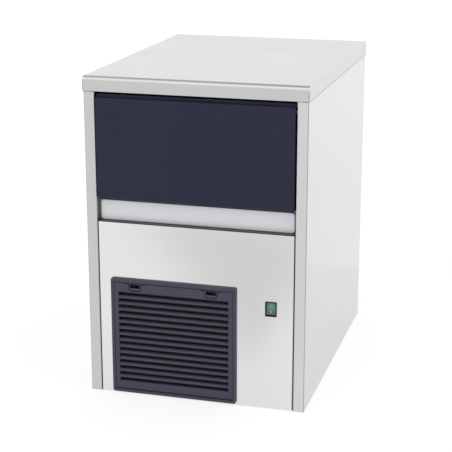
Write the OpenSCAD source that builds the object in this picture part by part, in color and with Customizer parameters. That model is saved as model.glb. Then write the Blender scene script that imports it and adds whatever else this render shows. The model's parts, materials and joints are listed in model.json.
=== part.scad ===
// Under-counter flake ice machine with its own bin, condensing unit and auger evaporator.
// Millimetres, +Z up, the front faces -Y, the origin is the middle of the base.

/* [Cabinet] */
// Width over the side panels
body_w = 450; // [446:1:470]
// Depth from the pillar faces to the outside of the rear panel
body_d = 613; // [605:1:640]
// Height from the floor to the top of the lid
body_h = 657; // [650:1:690]
// Thickness of the stainless sheet
sheet_t = 1; // [0.8:0.1:1.2]
// Outside radius of the sheet bends
bend_r = 2; // [1.6:0.1:3]
// Width of the front pillars
pillar_w = 22.5; // [21:0.5:26]
// Depth of the inner return of each pillar
pillar_return = 18; // [16:0.5:20]
// Height of the lid flanges
lid_h = 29.5; // [27:0.5:34]
// Radius of the bullnose along the front of the lid
nose_r = 10; // [8:0.5:12]
// Gap between the lid flanges and the panels
lid_gap = 0.3; // [0.3:0.1:0.6]
// Thickness of the base pan sheet
base_t = 1.5; // [1.2:0.1:2]
// Height of the base pan flanges
base_flange = 30; // [24:1:36]
// Radius of the threaded leg holes
leg_r = 4; // [3:0.5:5]
// Leg holes in from each side face
leg_side = 35; // [30:1:50]
// Leg holes in from the front and from the rear
leg_end = 36.5; // [34:0.5:55]

/* [Front] */
// Top edge of the lower front panel
panel_top = 364.5; // [360:0.5:366]
// Bottom edge of the lower front panel
panel_low = 1; // [1:0.5:3]
// Gap between the front panel and the pillars
panel_gap = 1; // [0.6:0.1:2]
// Depth of the folded edges of the front panel
panel_return = 14; // [12:0.5:15]
// Bottom edge of the grey strip
strip_low = 367.3; // [367:0.1:369]
// Height of the grey strip
strip_h = 39.7; // [36:0.1:40]
// Corner radius of the grey strip
strip_r = 5; // [3:0.5:8]
// Thickness of the grey strip
strip_t = 2; // [1.5:0.1:3]

/* [Door] */
// Bottom edge of the door
door_low = 413.6; // [412:0.1:416]
// Gap between the door and each pillar
door_gap = 2.5; // [2:0.1:3.5]
// How far the door face stands proud of the pillars
door_proud = 4; // [2:0.5:5]
// Distance from the door face back to the pin axis
door_front = 14; // [12:0.5:14.5]
// Distance from the pin axis back to the inner face
door_back = 14; // [12:0.5:14.5]
// Wall of the door moulding
door_t = 3; // [2.5:0.1:3.5]
// Radius of the door pins
pin_r = 3; // [2.5:0.1:3.5]
// Radial clearance of running pins and shafts
run_gap = 0.05; // [0.03:0.01:0.08]
// Travel of the door runners
door_travel = 175; // [165:1:180]

/* [Grille] */
// Middle of the grille across the width
grille_x = -45; // [-48:0.5:-40]
// Width of the grille frame
grille_w = 262; // [256:1:266]
// Height of the grille frame
grille_h = 245.5; // [243:0.5:250]
// Bottom edge of the grille frame
grille_low = 4; // [3:0.5:5]
// How far the frame stands proud of the front panel
grille_proud = 5; // [4.6:0.1:6]
// Number of louvre slots
slot_n = 15; // [12:1:15]
// Pitch of the louvre slots
slot_pitch = 13.2; // [12.8:0.1:13.3]
// Height of each slot at the face
slot_h = 11; // [9:0.1:11.4]
// Rise of the blades from front to back
slot_rise = 4.5; // [3:0.5:9]
// Half length of the slots
slot_hw = 115.5; // [108:0.5:117]
// Distance of each latch tongue from the grille middle
latch_x = 80; // [60:1:84]
// Swing pin radius of the louvre panel
louvre_pin_r = 1.8; // [1.5:0.1:1.9]

/* [Switch] */
// Middle of the switch in from the right edge of the front panel
switch_side = 45.5; // [41.5:0.5:51.5]
// Middle of the switch in height
switch_z = 211.8; // [200:0.5:230]
// Half width of the bezel
switch_hw = 11.5; // [11:0.1:13]
// Half height of the bezel
switch_hh = 15; // [14.8:0.1:17]
// Tilt of the rocker at rest
rocker_tilt = 7; // [5:0.5:8]

/* [Bin] */
// Bottom of the bin cavity
bin_floor = 306; // [304:1:312]
// Wall of the bin liner
liner_t = 2.5; // [2:0.1:3]
// Corner radius of the bin cavity
liner_r = 25; // [18:1:32]
// Depth of the machine bay behind the bin
rear_bay = 212.5; // [210:0.5:215]
// Foam behind the liner
foam_rear = 25.5; // [20:0.5:27]
// Bin drain in from the left side face
drain_side = 65; // [60:1:68]

/* [Ice maker] */
// Evaporator axis in from the left side face
ev_side = 165; // [163:1:167]
// Evaporator axis ahead of the rear panel face
ev_in = 108; // [104:1:110]
// Inner radius of the evaporator tube
ev_r = 36.5; // [34:0.5:37]
// Wall of the evaporator tube
ev_t = 5.5; // [4:0.5:6]
// Core radius of the auger
auger_r = 20; // [17:0.5:22]
// Journal radius of the auger
journal_r = 12; // [10:0.5:13]
// Turns of the auger flight
auger_turns = 6; // [5:1:7]
// Gap between the flight and the tube
flight_gap = 1; // [0.8:0.1:1.5]

/* [Cooling] */
// Half width of the condenser
cond_hw = 115; // [108:1:116]
// Number of condenser fins
fin_n = 20; // [16:1:24]
// Levels of condenser tubes
tube_n = 6; // [4:2:6]
// Radius of the condenser tubes
tube_r = 4.8; // [4:0.1:5]
// Radius of the fan
fan_r = 92; // [84:1:93]
// Number of fan blades
blade_n = 5; // [4:1:7]
// Compressor shell radius
comp_r = 80; // [74:1:80]
// Compressor middle in from the right side face
comp_side = 93; // [89:1:95]

/* [Connections] */
// Radius of the threaded water inlet
inlet_r = 13.2; // [12.8:0.1:13.4]
// Radius of the drain spigot
drain_r = 11; // [10:0.5:12]
// Radius of the cable gland bore
gland_r = 5; // [4:0.5:6]
// How far the connections stand out at the rear
rear_proud = 20; // [16:1:24]

/* [Hidden] */
$fn = 48;
e = 1;
F = -body_d / 2;
B = body_d / 2;
xs = body_w / 2;
wide = body_w / 450;
leg_dx = body_w - 2 * leg_side;
leg_dy = body_d - 2 * leg_end;
drain_x = -xs + drain_side * wide;
ev_x = -xs + ev_side * wide;
comp_x = xs - comp_side * wide;
shell_r = comp_r * wide;
stand_hw = 83 * wide;
xi = xs - sheet_t;
pillar_x = xs - pillar_w;
rear_out = B - sheet_t;
rear_in = B - 2 * sheet_t;
pan_rear = rear_in - bend_r + sheet_t;
lid_z = body_h - lid_h;
lid_over = lid_gap + sheet_t;
side_top = body_h - sheet_t - 0.5;
panel_hw = pillar_x - panel_gap;
switch_x = panel_hw - switch_side;
rocker_y = F + 6;
panel_back = F + panel_return;
base_top = base_t;
door_hw = pillar_x - door_gap;
pin_y = F - door_proud + door_front;
pin_z = lid_z - 21.5;
door_top = pin_z + 10;
door_lip = pin_z + 16;
lip_z = door_low - 3.1;
bar_top = lip_z - liner_t;
rim_z = pin_z - door_back - 4;
bin_hw = door_hw + 4;
bin_y0 = F + 42;
foam_back = B - rear_bay;
bin_y1 = foam_back - foam_rear - liner_t;
shelf_z = bin_floor - liner_t - 22.5;
drain_y = bin_y1 - 42;
drain_out_z = 70;
guide_in = bin_hw + 2;
runner_h = 11.6;
ev_y = B - ev_in;
gear_low = 100;
gear_top = 172;
tube_low = 212;
chute_top = rim_z - liner_t - 2.5;
head_top = chute_top - 50;
tube_top = head_top - 38;
ev_out = ev_r + ev_t;
cond_y0 = F + 30;
cond_y1 = F + 74;
cond_low = 14;
cond_top = 236;
fan_z = 125;
fan_y = F + 104;
motor_y = F + 134;
comp_y = B - 143;
tank_x = xs - 91 * wide;
tank_y0 = foam_back + 20;
tank_y1 = tank_y0 + 95;
tank_z = 400;
tank_h = 85;
valve_z = tank_z + 55;
inlet_z = 300;
gland_x = 30;
gland_z = 62;
box_x0 = xi - 100;
slot_top = grille_low + grille_h - 28.5;
louvre_hw = grille_w / 2 - 6.5;
louvre_low = grille_low + 8;
louvre_top = grille_low + grille_h - 8.5;
louvre_y = F - grille_proud + 0.6;
louvre_back = F + 6;
louvre_pin_y = F - grille_proud + 2.7;
louvre_pin_z = louvre_low + 4;
screw_low = 40;
screw_step = (lid_z - 32.5 - screw_low) / 3;
screw_z = [for (i = [0:3]) screw_low + i * screw_step];
steel = [0.80, 0.80, 0.80];
dark = [0.20, 0.20, 0.27];
grey = [0.55, 0.56, 0.58];
black = [0.12, 0.12, 0.13];
copper = [0.72, 0.43, 0.28];
foam = [0.85, 0.80, 0.62];

// Box between two corners
module box(x0, x1, y0, y1, z0, z1) {
  translate([x0, y0, z0])
    cube([x1 - x0, y1 - y0, z1 - z0]);
}

// Flat rectangle with round corners
module round_rect(x0, x1, y0, y1, r) {
  translate([x0 + r, y0])
    square([x1 - x0 - 2 * r, y1 - y0]);
  translate([x0, y0 + r])
    square([x1 - x0, y1 - y0 - 2 * r]);
  for (x = [x0 + r, x1 - r])
    for (y = [y0 + r, y1 - r])
      translate([x, y])
        circle(r);
}

// Upright block with round corners in plan
module round_box(x0, x1, y0, y1, z0, z1, r) {
  translate([0, 0, z0])
    linear_extrude(z1 - z0)
      round_rect(x0, x1, y0, y1, r);
}

// Draws a Y-Z outline along X
module along_x(x0, x1) {
  translate([x0, 0, 0])
    rotate([90, 0, 90])
      linear_extrude(x1 - x0)
        children();
}

// Draws an X-Z outline along Y
module along_y(y0, y1) {
  translate([0, y1, 0])
    rotate([90, 0, 0])
      linear_extrude(y1 - y0)
        children();
}

// Round bars along each axis
module bar_x(y, z, x0, x1, r) {
  translate([x0, y, z])
    rotate([0, 90, 0])
      cylinder(r = r, h = x1 - x0);
}
module bar_y(x, z, y0, y1, r) {
  translate([x, y1, z])
    rotate([90, 0, 0])
      cylinder(r = r, h = y1 - y0);
}
module bar_z(x, y, z0, z1, r) {
  translate([x, y, z0])
    cylinder(r = r, h = z1 - z0);
}

// Pipe through square corners with round bends
function way(a, b) = (b - a) / norm(b - a);
module pipe_run(p, r, bend) {
  n = len(p);
  for (i = [1:n - 1]) {
    d = way(p[i - 1], p[i]);
    a = i > 1 ? p[i - 1] + bend * d : p[i - 1];
    b = i < n - 1 ? p[i] - bend * d : p[i];
    translate(a)
      rotate([0, acos(d[2]), atan2(d[1], d[0])])
        cylinder(r = r, h = norm(b - a));
  }
  for (i = [1:n - 2]) {
    d1 = way(p[i - 1], p[i]);
    d2 = way(p[i], p[i + 1]);
    c = p[i] - bend * d1 + bend * d2;
    u = -d2;
    w = cross(u, d1);
    m = [for (k = [0:2]) [u[k], d1[k], w[k], c[k]]];
    multmatrix(concat(m, [[0, 0, 0, 1]]))
      rotate_extrude(angle = 90)
        translate([bend, 0])
          circle(r);
  }
}

// Folded pan with four flanges, a notch behind each pillar and four weld nuts
module base_pan() {
  y1 = F + pillar_return + e;
  hw = panel_hw - 0.5;
  color(steel)
    difference() {
      union() {
        box(-xi, xi, y1, pan_rear, 0, base_t);
        box(-hw, hw, panel_back, y1 + e, 0, base_t);
        box(-hw, hw, panel_back, panel_back + base_t, 0, base_flange + 10);
        box(-xi, -xi + base_t, y1, pan_rear, 0, base_flange);
        box(xi - base_t, xi, y1, pan_rear, 0, base_flange);
        box(-xi, xi, pan_rear - base_t, pan_rear, 0, base_flange);
        for (x = [-1, 1])
          for (y = [-1, 1])
            translate([x * leg_dx / 2, y * leg_dy / 2, 0])
              cylinder(d = leg_r * 3.75, h = base_t + leg_r * 1.6, $fn = 6);
      }
      for (x = [-1, 1])
        for (y = [-1, 1])
          bar_z(x * leg_dx / 2, y * leg_dy / 2, -e, base_t + leg_r * 2, leg_r);
    }
}

// Side sheet folded round into the front pillar and into a rear flange
module side_sheet() {
  difference() {
    linear_extrude(side_top)
      difference() {
        round_rect(pillar_x, xs, F, rear_out, bend_r);
        round_rect(pillar_x + sheet_t, xi, F + sheet_t, rear_in, bend_r - sheet_t);
        translate([pillar_x - e, F + pillar_return])
          square([pillar_w - 16 + e, body_d]);
      }
    box(pillar_x - e, xs + e, F - e, F + 20, lid_z + 12.5, body_h);
    box(pillar_x - e, pillar_x + sheet_t + 0.5, F + 3, F + 20, pin_z - 13, lid_z + 13);
    for (z = screw_z)
      bar_y(xs - 9, z, rear_in - e, B, 2.2);
  }
}
module left_side_panel() {
  color(steel)
    mirror([1, 0, 0])
      side_sheet();
}
module right_side_panel() {
  color(steel)
    side_sheet();
}

// Flat rear sheet with air slots and holes for the connections
module rear_panel() {
  color(steel)
    along_y(rear_out, B)
      difference() {
        round_rect(-xs + 2, xs - 2, 2, lid_z + 22, 2);
        for (i = [0:9])
          round_slot(comp_x - 22, 95 + i * 14, 80, 3);
        for (s = [-1, 1])
          for (z = screw_z)
            translate([s * (xs - 9), z])
              circle(2.2);
        for (x = [-160, 0, 160])
          translate([x, lid_z + 11])
            circle(2.2);
        translate([tank_x, inlet_z])
          circle(inlet_r + 0.6);
        translate([drain_x, drain_out_z])
          circle(drain_r + 0.6);
        translate([gland_x, gland_z])
          circle(gland_r + 3.6);
      }
}
module round_slot(x, z, half, r) {
  translate([x - half + r, z - r])
    square([2 * half - 2 * r, 2 * r]);
  for (s = [-1, 1])
    translate([x + s * (half - r), z])
      circle(r);
}

// Lid folded from one sheet, with a bullnose along the front
module lid_side(o, z0) {
  y0 = F - lid_over + o;
  y1 = B + lid_over - o;
  z1 = body_h - o;
  r1 = nose_r - o;
  r2 = bend_r - o;
  translate([y0, z0])
    square([y1 - y0, z1 - r1 - z0]);
  translate([y0 + r1, z0])
    square([y1 - y0 - r1 - r2, z1 - z0]);
  translate([y1 - r2 - e, z0])
    square([r2 + e, z1 - r2 - z0]);
  translate([y0 + r1, z1 - r1])
    circle(r1);
  translate([y1 - r2, z1 - r2])
    circle(r2);
}
module lid_end(o, z0) {
  hw = xs + lid_over - o;
  z1 = body_h - o;
  r = bend_r - o;
  translate([-hw, z0])
    square([2 * hw, z1 - r - z0]);
  translate([-hw + r, z0])
    square([2 * hw - 2 * r, z1 - z0]);
  for (s = [-1, 1])
    translate([s * (hw - r), z1 - r])
      circle(r);
}
module lid_block(o, z0) {
  intersection() {
    along_x(-xs - 10, xs + 10)
      lid_side(o, z0);
    along_y(F - 10, B + 10)
      lid_end(o, z0);
  }
}
module top_cover() {
  color(steel)
    difference() {
      lid_block(0, lid_z);
      lid_block(sheet_t, lid_z - e);
      for (x = [-160, 0, 160])
        bar_y(x, lid_z + 11, B - e, B + 5, 2.2);
    }
}

// Foam slab glued under the lid
module top_insulation() {
  color(foam)
    box(-bin_hw, bin_hw, F + 16, B - 16, lid_z + 1.5, body_h - sheet_t);
}

// Shallow tray, open at the top, with cut-outs for the grille and the switch
module tray_plan(o) {
  hw = panel_hw - o;
  r = bend_r - o;
  translate([-hw, F + o + r])
    square([2 * hw, panel_return - o - r + (o > 0 ? e : 0)]);
  translate([-hw + r, F + o])
    square([2 * hw - 2 * r, panel_return - o + (o > 0 ? e : 0)]);
  for (s = [-1, 1])
    translate([s * (hw - r), F + o + r])
      circle(r);
}
module front_panel() {
  gw = grille_w / 2 - 4;
  color(steel)
    difference() {
      translate([0, 0, panel_low])
        linear_extrude(panel_top - panel_low)
          tray_plan(0);
      translate([0, 0, panel_low + sheet_t])
        linear_extrude(panel_top - panel_low)
          tray_plan(sheet_t);
      box(grille_x - gw, grille_x + gw, F - e, F + 5, grille_low + 3.5, grille_low + grille_h - 5.5);
      box(switch_x - 10.7, switch_x + 10.7, F - e, F + 5, switch_z - 14.4, switch_z + 14.4);
    }
}

// Folded rail between the pillars, behind the grey strip, with a ledge over the front panel
module front_crossbar() {
  color(steel)
    union() {
      box(-pillar_x, pillar_x, panel_back, panel_back + base_t, panel_top - 20, bar_top);
      box(-pillar_x, pillar_x, panel_back, bin_y0 - liner_t, bar_top - base_t, bar_top);
      box(-panel_hw + 2, panel_hw - 2, F + 2.5, panel_back + e, strip_low - 2.1, strip_low - 0.9);
    }
}

// Bare grey strip in the recess under the door
module name_strip() {
  color(grey)
    along_y(panel_back - strip_t, panel_back)
      round_rect(-pillar_x + 4.5, pillar_x - 4.5, strip_low, strip_low + strip_h, strip_r);
}

// Pan head screws of the rear panel and of the lid
module screw_at(x, y, z) {
  bar_y(x, z, y, y + 2.2, 4);
  bar_y(x, z, y - 7, y + 0.5, 1.9);
}
module casing_screws() {
  color(grey) {
    for (s = [-1, 1])
      for (z = screw_z)
        screw_at(s * (xs - 9), B, z);
    for (x = [-160, 0, 160])
      screw_at(x, B + lid_over, lid_z + 11);
  }
}

// Frame of the grille: a proud flange outside and a collar through the front panel
module grille_frame() {
  gw = grille_w / 2;
  z1 = grille_low + grille_h;
  color(dark)
    difference() {
      union() {
        along_y(F - grille_proud, F)
          round_rect(grille_x - gw, grille_x + gw, grille_low, z1, 4.5);
        box(grille_x - gw + 4.3, grille_x + gw - 4.3, F - e, F + 12, grille_low + 3.8, z1 - 5.8);
      }
      box(grille_x - gw + 6, grille_x + gw - 6, F - 10, F + 20, grille_low + 5.5, z1 - 7.5);
      bar_x(louvre_pin_y, louvre_pin_z, grille_x - louvre_hw - 4, grille_x + louvre_hw + 4,
        louvre_pin_r + run_gap);
      box(grille_x + gw - 1.5, grille_x + gw + e, F - 4, F + e, grille_low + 42, grille_low + 47);
    }
}

// Groove that frees a latch tongue, with a short wing at each side of its root
module latch_cup(o) {
  polygon([[-14.4 + o, 2], [-14 + o, -2], [-12.6 + o, -12], [-11.4 + o * 0.8, -15 + o * 0.6],
    [-8.6 + o * 0.4, -16.8 + o], [8.6 - o * 0.4, -16.8 + o], [11.4 - o * 0.8, -15 + o * 0.6],
    [12.6 - o, -12], [14 - o, -2], [14.4 - o, 2]]);
}
module latch_groove() {
  difference() {
    union() {
      latch_cup(0);
      translate([-22, -1.8])
        square([44, 1.8]);
    }
    latch_cup(1.9);
  }
}
// Moulded louvre panel with sloping blades, latch tongues and swing pins
module grille_louvre() {
  color(dark)
    difference() {
      union() {
        along_y(louvre_y, louvre_back)
          round_rect(grille_x - louvre_hw, grille_x + louvre_hw, louvre_low, louvre_top, 1.5);
        bar_x(louvre_pin_y, louvre_pin_z, grille_x - louvre_hw - 3, grille_x + louvre_hw + 3, louvre_pin_r);
      }
      for (i = [0:slot_n - 1])
        along_x(grille_x - slot_hw, grille_x + slot_hw)
          louvre_cut(slot_top - i * slot_pitch);
      for (s = [-1, 1]) {
        along_y(louvre_y - e, louvre_y + 3)
          translate([grille_x + s * latch_x, louvre_top - 0.8])
            intersection() {
              latch_groove();
              translate([-30, -30])
                square([60, 30]);
            }
        box(grille_x + s * latch_x - 10, grille_x + s * latch_x + 10, louvre_y - e, louvre_back + e,
          louvre_top - 10.5, louvre_top - 1.8);
      }
    }
}
// Sloping slot: lower at the front, higher at the back
module louvre_cut(z) {
  k = slot_rise / (louvre_back - louvre_y);
  y0 = louvre_y - e;
  y1 = louvre_back + e;
  polygon([[y0, z - slot_h - k], [y1, z - slot_h + slot_rise + k], [y1, z + slot_rise + k], [y0, z - k]]);
}

// Filter pad clipped behind the louvres
module air_filter() {
  color(black)
    box(grille_x - louvre_hw + 4, grille_x + louvre_hw - 4, louvre_back, louvre_back + 3,
      louvre_low + 4, louvre_top - 0.5);
}

// Rocker switch body snapped into the front panel
module switch_housing() {
  color(black)
    difference() {
      union() {
        along_y(F - 2.2, F)
          round_rect(switch_x - switch_hw, switch_x + switch_hw,
            switch_z - switch_hh, switch_z + switch_hh, 1.5);
        box(switch_x - 10.5, switch_x + 10.5, F - e, F + 26, switch_z - 14.2, switch_z + 14.2);
      }
      box(switch_x - 9.7, switch_x + 9.7, F - 5, F + 15, switch_z - 13.4, switch_z + 13.4);
      bar_x(rocker_y, switch_z, switch_x - 10.2, switch_x + 10.2, 1.5 + run_gap);
    }
}
// Rocker with two flat halves, resting with its upper half pressed in
module switch_rocker() {
  color([0.3, 0.5, 0.45])
    translate([0, rocker_y, switch_z])
      rotate([-rocker_tilt, 0, 0])
        union() {
          along_x(switch_x - 9.3, switch_x + 9.3)
            polygon([[-6.4, -12], [-4.8, 0], [-6.4, 12], [1.5, 9.5], [3.5, 0], [1.5, -9.5]]);
          bar_x(0, 0, switch_x - 10, switch_x + 10, 1.5);
        }
}

// Door moulding with rims, ribs, a recessed lip and a finger slot along the top
module door_outer() {
  y0 = pin_y - door_front;
  y1 = pin_y + door_back;
  color(dark)
    difference() {
      union() {
        difference() {
          union() {
            along_x(-door_hw, door_hw)
              round_rect(y0, y1, door_low, door_top, 3);
            box(-door_hw, door_hw, y1 - 4, y1, door_low, door_lip);
            box(-door_hw, door_hw, y0 + 10, y1, door_top - 6, door_lip);
          }
          box(-door_hw + door_t, door_hw - door_t, y0 + door_t, y1 + e,
            door_low + door_t, door_top - door_t);
        }
        for (x = [-100, 0, 100])
          box(x - 1.5, x + 1.5, y0 + door_t - e, y1 - door_t, door_low + door_t - e, door_top - door_t + e);
        for (s = [-1, 1])
          bar_x(pin_y, pin_z, s > 0 ? door_hw - 14 : -door_hw + 2,
            s > 0 ? door_hw - 2 : -door_hw + 14, 6);
      }
      bar_x(pin_y, pin_z, -door_hw - e, -door_hw + 16, pin_r + run_gap);
      bar_x(pin_y, pin_z, door_hw - 16, door_hw + e, pin_r + run_gap);
      box(-door_hw + 15, door_hw - 15, y0 + door_t, y0 + 10, door_top - door_t - e, door_top + e);
    }
}
// Flat cover that closes the back of the door
module door_inner() {
  y1 = pin_y + door_back;
  color(grey)
    box(-door_hw + door_t + 0.3, door_hw - door_t - 0.3, y1 - door_t, y1,
      door_low + door_t + 0.3, door_top - door_t - 0.3);
}
// Steel pins between the door and its runners
module door_pins() {
  color(steel)
    for (s = [-1, 1])
      bar_x(pin_y, pin_z, s > 0 ? door_hw - 13 : -guide_in - 10,
        s > 0 ? guide_in + 10 : -door_hw + 13, pin_r);
}
// Sliding blocks that carry the pins in the guides
module door_runners() {
  color(black)
    for (s = [-1, 1])
      mirror([s > 0 ? 0 : 1, 0, 0])
        difference() {
          box(guide_in + 0.5, guide_in + 11.5, pin_y - 6, pin_y + 6,
            pin_z - runner_h / 2, pin_z + runner_h / 2);
          bar_x(pin_y, pin_z, guide_in - e, guide_in + 15, pin_r + run_gap);
        }
}
// Channels on the side panels in which the runners slide
module door_guides() {
  color(black)
    for (s = [-1, 1])
      mirror([s > 0 ? 0 : 1, 0, 0])
        difference() {
          box(guide_in, xi, F + bend_r + 0.1, pin_y + door_travel + 12, pin_z - 13.5, pin_z + 13.5);
          box(guide_in - e, guide_in + 12, pin_y - 6.2, pin_y + door_travel + 6.2,
            pin_z - 6, pin_z + 6);
        }
}

// Shelf under the bin, riveted between the side panels
module bin_shelf() {
  y0 = F + pillar_return + 1.5;
  color(steel)
    difference() {
      union() {
        box(-xi, xi, y0, foam_back, shelf_z - base_t, shelf_z);
        box(-xi, -xi + base_t, y0, foam_back, shelf_z - 24, shelf_z);
        box(xi - base_t, xi, y0, foam_back, shelf_z - 24, shelf_z);
      }
      bar_z(drain_x, drain_y, shelf_z - 30, shelf_z + 5, 14.5);
    }
}
// Outer body of the liner, grown by g for the foam seat
module liner_body(g, z0) {
  o = bin_hw + liner_t + g;
  round_box(-o, o, bin_y0 - liner_t - g, bin_y1 + liner_t + g, bin_floor - liner_t, rim_z,
    liner_r + liner_t + g);
  box(-o, o, F + pillar_return, bin_y1 - liner_r, z0, rim_z);
}
// Moulded bin with a front lip, an outward rim and a raised rear wall
module bin_liner() {
  o = bin_hw + liner_t;
  color([0.93, 0.94, 0.95])
    difference() {
      union() {
        liner_body(0, bar_top);
        box(-xi + 0.5, xi - 0.5, F + pillar_return, foam_back, rim_z - liner_t, rim_z);
        box(-xi + 0.5, xi - 0.5, F + pillar_return, F + pillar_return + liner_t, bar_top, rim_z);
        box(-o, o, bin_y1, bin_y1 + liner_t, rim_z - liner_t, lid_z + 1);
      }
      round_box(-bin_hw, bin_hw, bin_y0, bin_y1, bin_floor, rim_z + 5, liner_r);
      box(-bin_hw, bin_hw, F + 10, bin_y1 - liner_r, lip_z, rim_z + 5);
      bar_z(drain_x, drain_y, bin_floor - 10, bin_floor + 10, 14.3);
      chute_window();
      bar_y(ev_x + 120, chute_top - 70, bin_y1 - 5, foam_back + 5, 5.3);
    }
}
// Opening for the chute through the liner and the foam
module chute_window() {
  box(ev_x - 48.5, ev_x + 48.5, bin_y1 - 5, foam_back + 5, head_top - 17, chute_top + 0.5);
}
// Foam between the liner, the panels and the shelf
module bin_insulation() {
  color(foam)
    difference() {
      union() {
        box(-xi, xi, F + pillar_return + liner_t, foam_back, shelf_z, rim_z - liner_t);
        box(-pillar_x + 1, pillar_x - 1, panel_back + base_t, F + pillar_return + liner_t + e,
          shelf_z, bar_top - base_t);
      }
      liner_body(0.3, bar_top - base_t);
      box(-bin_hw, bin_hw, panel_back, F + 42.5, bar_top - base_t, rim_z);
      bar_z(drain_x, drain_y, shelf_z - 5, bin_floor + 10, 14.5);
      chute_window();
      bar_y(ev_x + 120, chute_top - 70, bin_y1 - 5, foam_back + 5, 5.5);
    }
}
// Flanged drain with a cross grid, through the bin floor
module bin_drain() {
  color(grey)
    difference() {
      union() {
        bar_z(drain_x, drain_y, bin_floor, bin_floor + 2.5, 20);
        bar_z(drain_x, drain_y, shelf_z - 16, bin_floor + 1, 14);
      }
      for (s = [-1, 1])
        for (q = [-1, 1])
          bar_z(drain_x + s * 4.6, drain_y + q * 4.6, shelf_z - 20, bin_floor + 5, 3.6);
    }
}
module drain_hose() {
  color(black)
    pipe_run([[drain_x, drain_y, shelf_z - 16], [drain_x, drain_y, drain_out_z],
      [drain_x, B - 26, drain_out_z]], 12, 28);
}
// Drain spigot through the rear panel
module drain_outlet() {
  color(grey)
    difference() {
      union() {
        bar_y(drain_x, drain_out_z, B - 26, rear_out - 3, 12);
        bar_y(drain_x, drain_out_z, rear_out - 4, rear_out, 18);
        bar_y(drain_x, drain_out_z, rear_out - e, B, drain_r + 0.3);
        bar_y(drain_x, drain_out_z, B - e, B + rear_proud, drain_r);
      }
      bar_y(drain_x, drain_out_z, B - 15, B + rear_proud + e, drain_r - 2.5);
    }
}
// Closed steel tube that feels the ice near the chute
module bin_sensor() {
  x = ev_x + 120;
  z = chute_top - 70;
  color(steel)
    union() {
      bar_y(x, z, bin_y1 - 50, foam_back + 12, 5);
      bar_y(x, z, bin_y1 - 3, bin_y1, 11);
      bar_y(x, z, foam_back, foam_back + 4, 10);
    }
}

// Stack of thin plates between two end plates that stand on the base
function tube_z(i) = cond_low + 22 + i * (cond_top - cond_low - 44) / (tube_n - 1);
module condenser_fins() {
  step = (2 * cond_hw - 4) / (fin_n + 1);
  color(grey) {
    for (i = [1:fin_n])
      fin_plate(grille_x - cond_hw + 2 + i * step - 0.4, 0.8, cond_low, 3);
    fin_plate(grille_x - cond_hw, 2, base_top, 0);
    fin_plate(grille_x + cond_hw - 2, 2, base_top, 0);
  }
}
module fin_plate(x, t, z0, inset) {
  difference() {
    box(x, x + t, cond_y0 + inset, cond_y1 - inset, z0, cond_top - inset);
    for (y = [cond_y0 + 12, cond_y1 - 12])
      for (i = [0:tube_n - 1])
        bar_x(y, tube_z(i), x - e, x + t + e, tube_r + run_gap);
  }
}
// Copper rows joined by return bends at each end
module condenser_tubes() {
  x0 = grille_x - cond_hw - 4;
  x1 = grille_x + cond_hw + 4;
  ya = cond_y0 + 12;
  yb = cond_y1 - 12;
  color(copper)
    union() {
      for (y = [ya, yb])
        for (i = [0:tube_n - 1])
          bar_x(y, tube_z(i), x0, x1, tube_r);
      for (i = [0:2:tube_n - 1])
        for (y = [ya, yb])
          return_bend([x1, y, (tube_z(i) + tube_z(i + 1)) / 2], (tube_z(1) - tube_z(0)) / 2, 0);
      for (i = [1:2:tube_n - 2])
        for (y = [ya, yb])
          return_bend([x0, y, (tube_z(i) + tube_z(i + 1)) / 2], (tube_z(1) - tube_z(0)) / 2, 180);
      return_bend_flat([x0, (ya + yb) / 2, tube_z(tube_n - 1)], (yb - ya) / 2);
      bar_x(ya, tube_z(0), x0 - 12, x0, tube_r);
      bar_x(yb, tube_z(0), x0 - 12, x0, tube_r);
    }
}
module return_bend(c, r, turn) {
  translate(c)
    rotate([90, 0, turn])
      rotate([0, 0, -90])
        rotate_extrude(angle = 180)
          translate([r, 0])
            circle(tube_r);
}
module return_bend_flat(c, r) {
  translate(c)
    rotate([0, 0, 90])
      rotate_extrude(angle = 180)
        translate([r, 0])
          circle(tube_r);
}
// Sheet duct from the condenser to the fan ring
module fan_shroud() {
  x0 = grille_x - cond_hw;
  x1 = grille_x + cond_hw;
  color(steel)
    difference() {
      union() {
        box(x0, x1, cond_y1, F + 100, cond_low, cond_top);
        bar_y(grille_x, fan_z, F + 99, F + 122, fan_r + 6.5);
      }
      box(x0 + 1.2, x1 - 1.2, cond_y1 - e, F + 98.5, cond_low + 1.2, cond_top - 1.2);
      bar_y(grille_x, fan_z, F + 90, F + 130, fan_r + 5);
    }
}
// Strap that holds the fan motor behind the ring
module fan_bracket() {
  a = fan_r + 9;
  color(steel)
    difference() {
      union() {
        box(grille_x - a - 3, grille_x + a + 3, motor_y - 2.5, motor_y, fan_z - 16, fan_z + 16);
        for (s = [-1, 1])
          box(s > 0 ? grille_x + a : grille_x - a - 3, s > 0 ? grille_x + a + 3 : grille_x - a,
            F + 100, motor_y, fan_z - 16, fan_z + 16);
      }
      bar_y(grille_x, fan_z, motor_y - 5, motor_y + 5, 8);
    }
}
module fan_motor() {
  color(black)
    difference() {
      union() {
        bar_y(grille_x, fan_z, motor_y, motor_y + 12, 30);
        bar_y(grille_x, fan_z, motor_y + 12, motor_y + 44, 38);
        bar_y(grille_x, fan_z, motor_y + 44, motor_y + 52, 26);
      }
      bar_y(grille_x, fan_z, motor_y - e, motor_y + 30, 4 + run_gap);
    }
}
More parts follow.
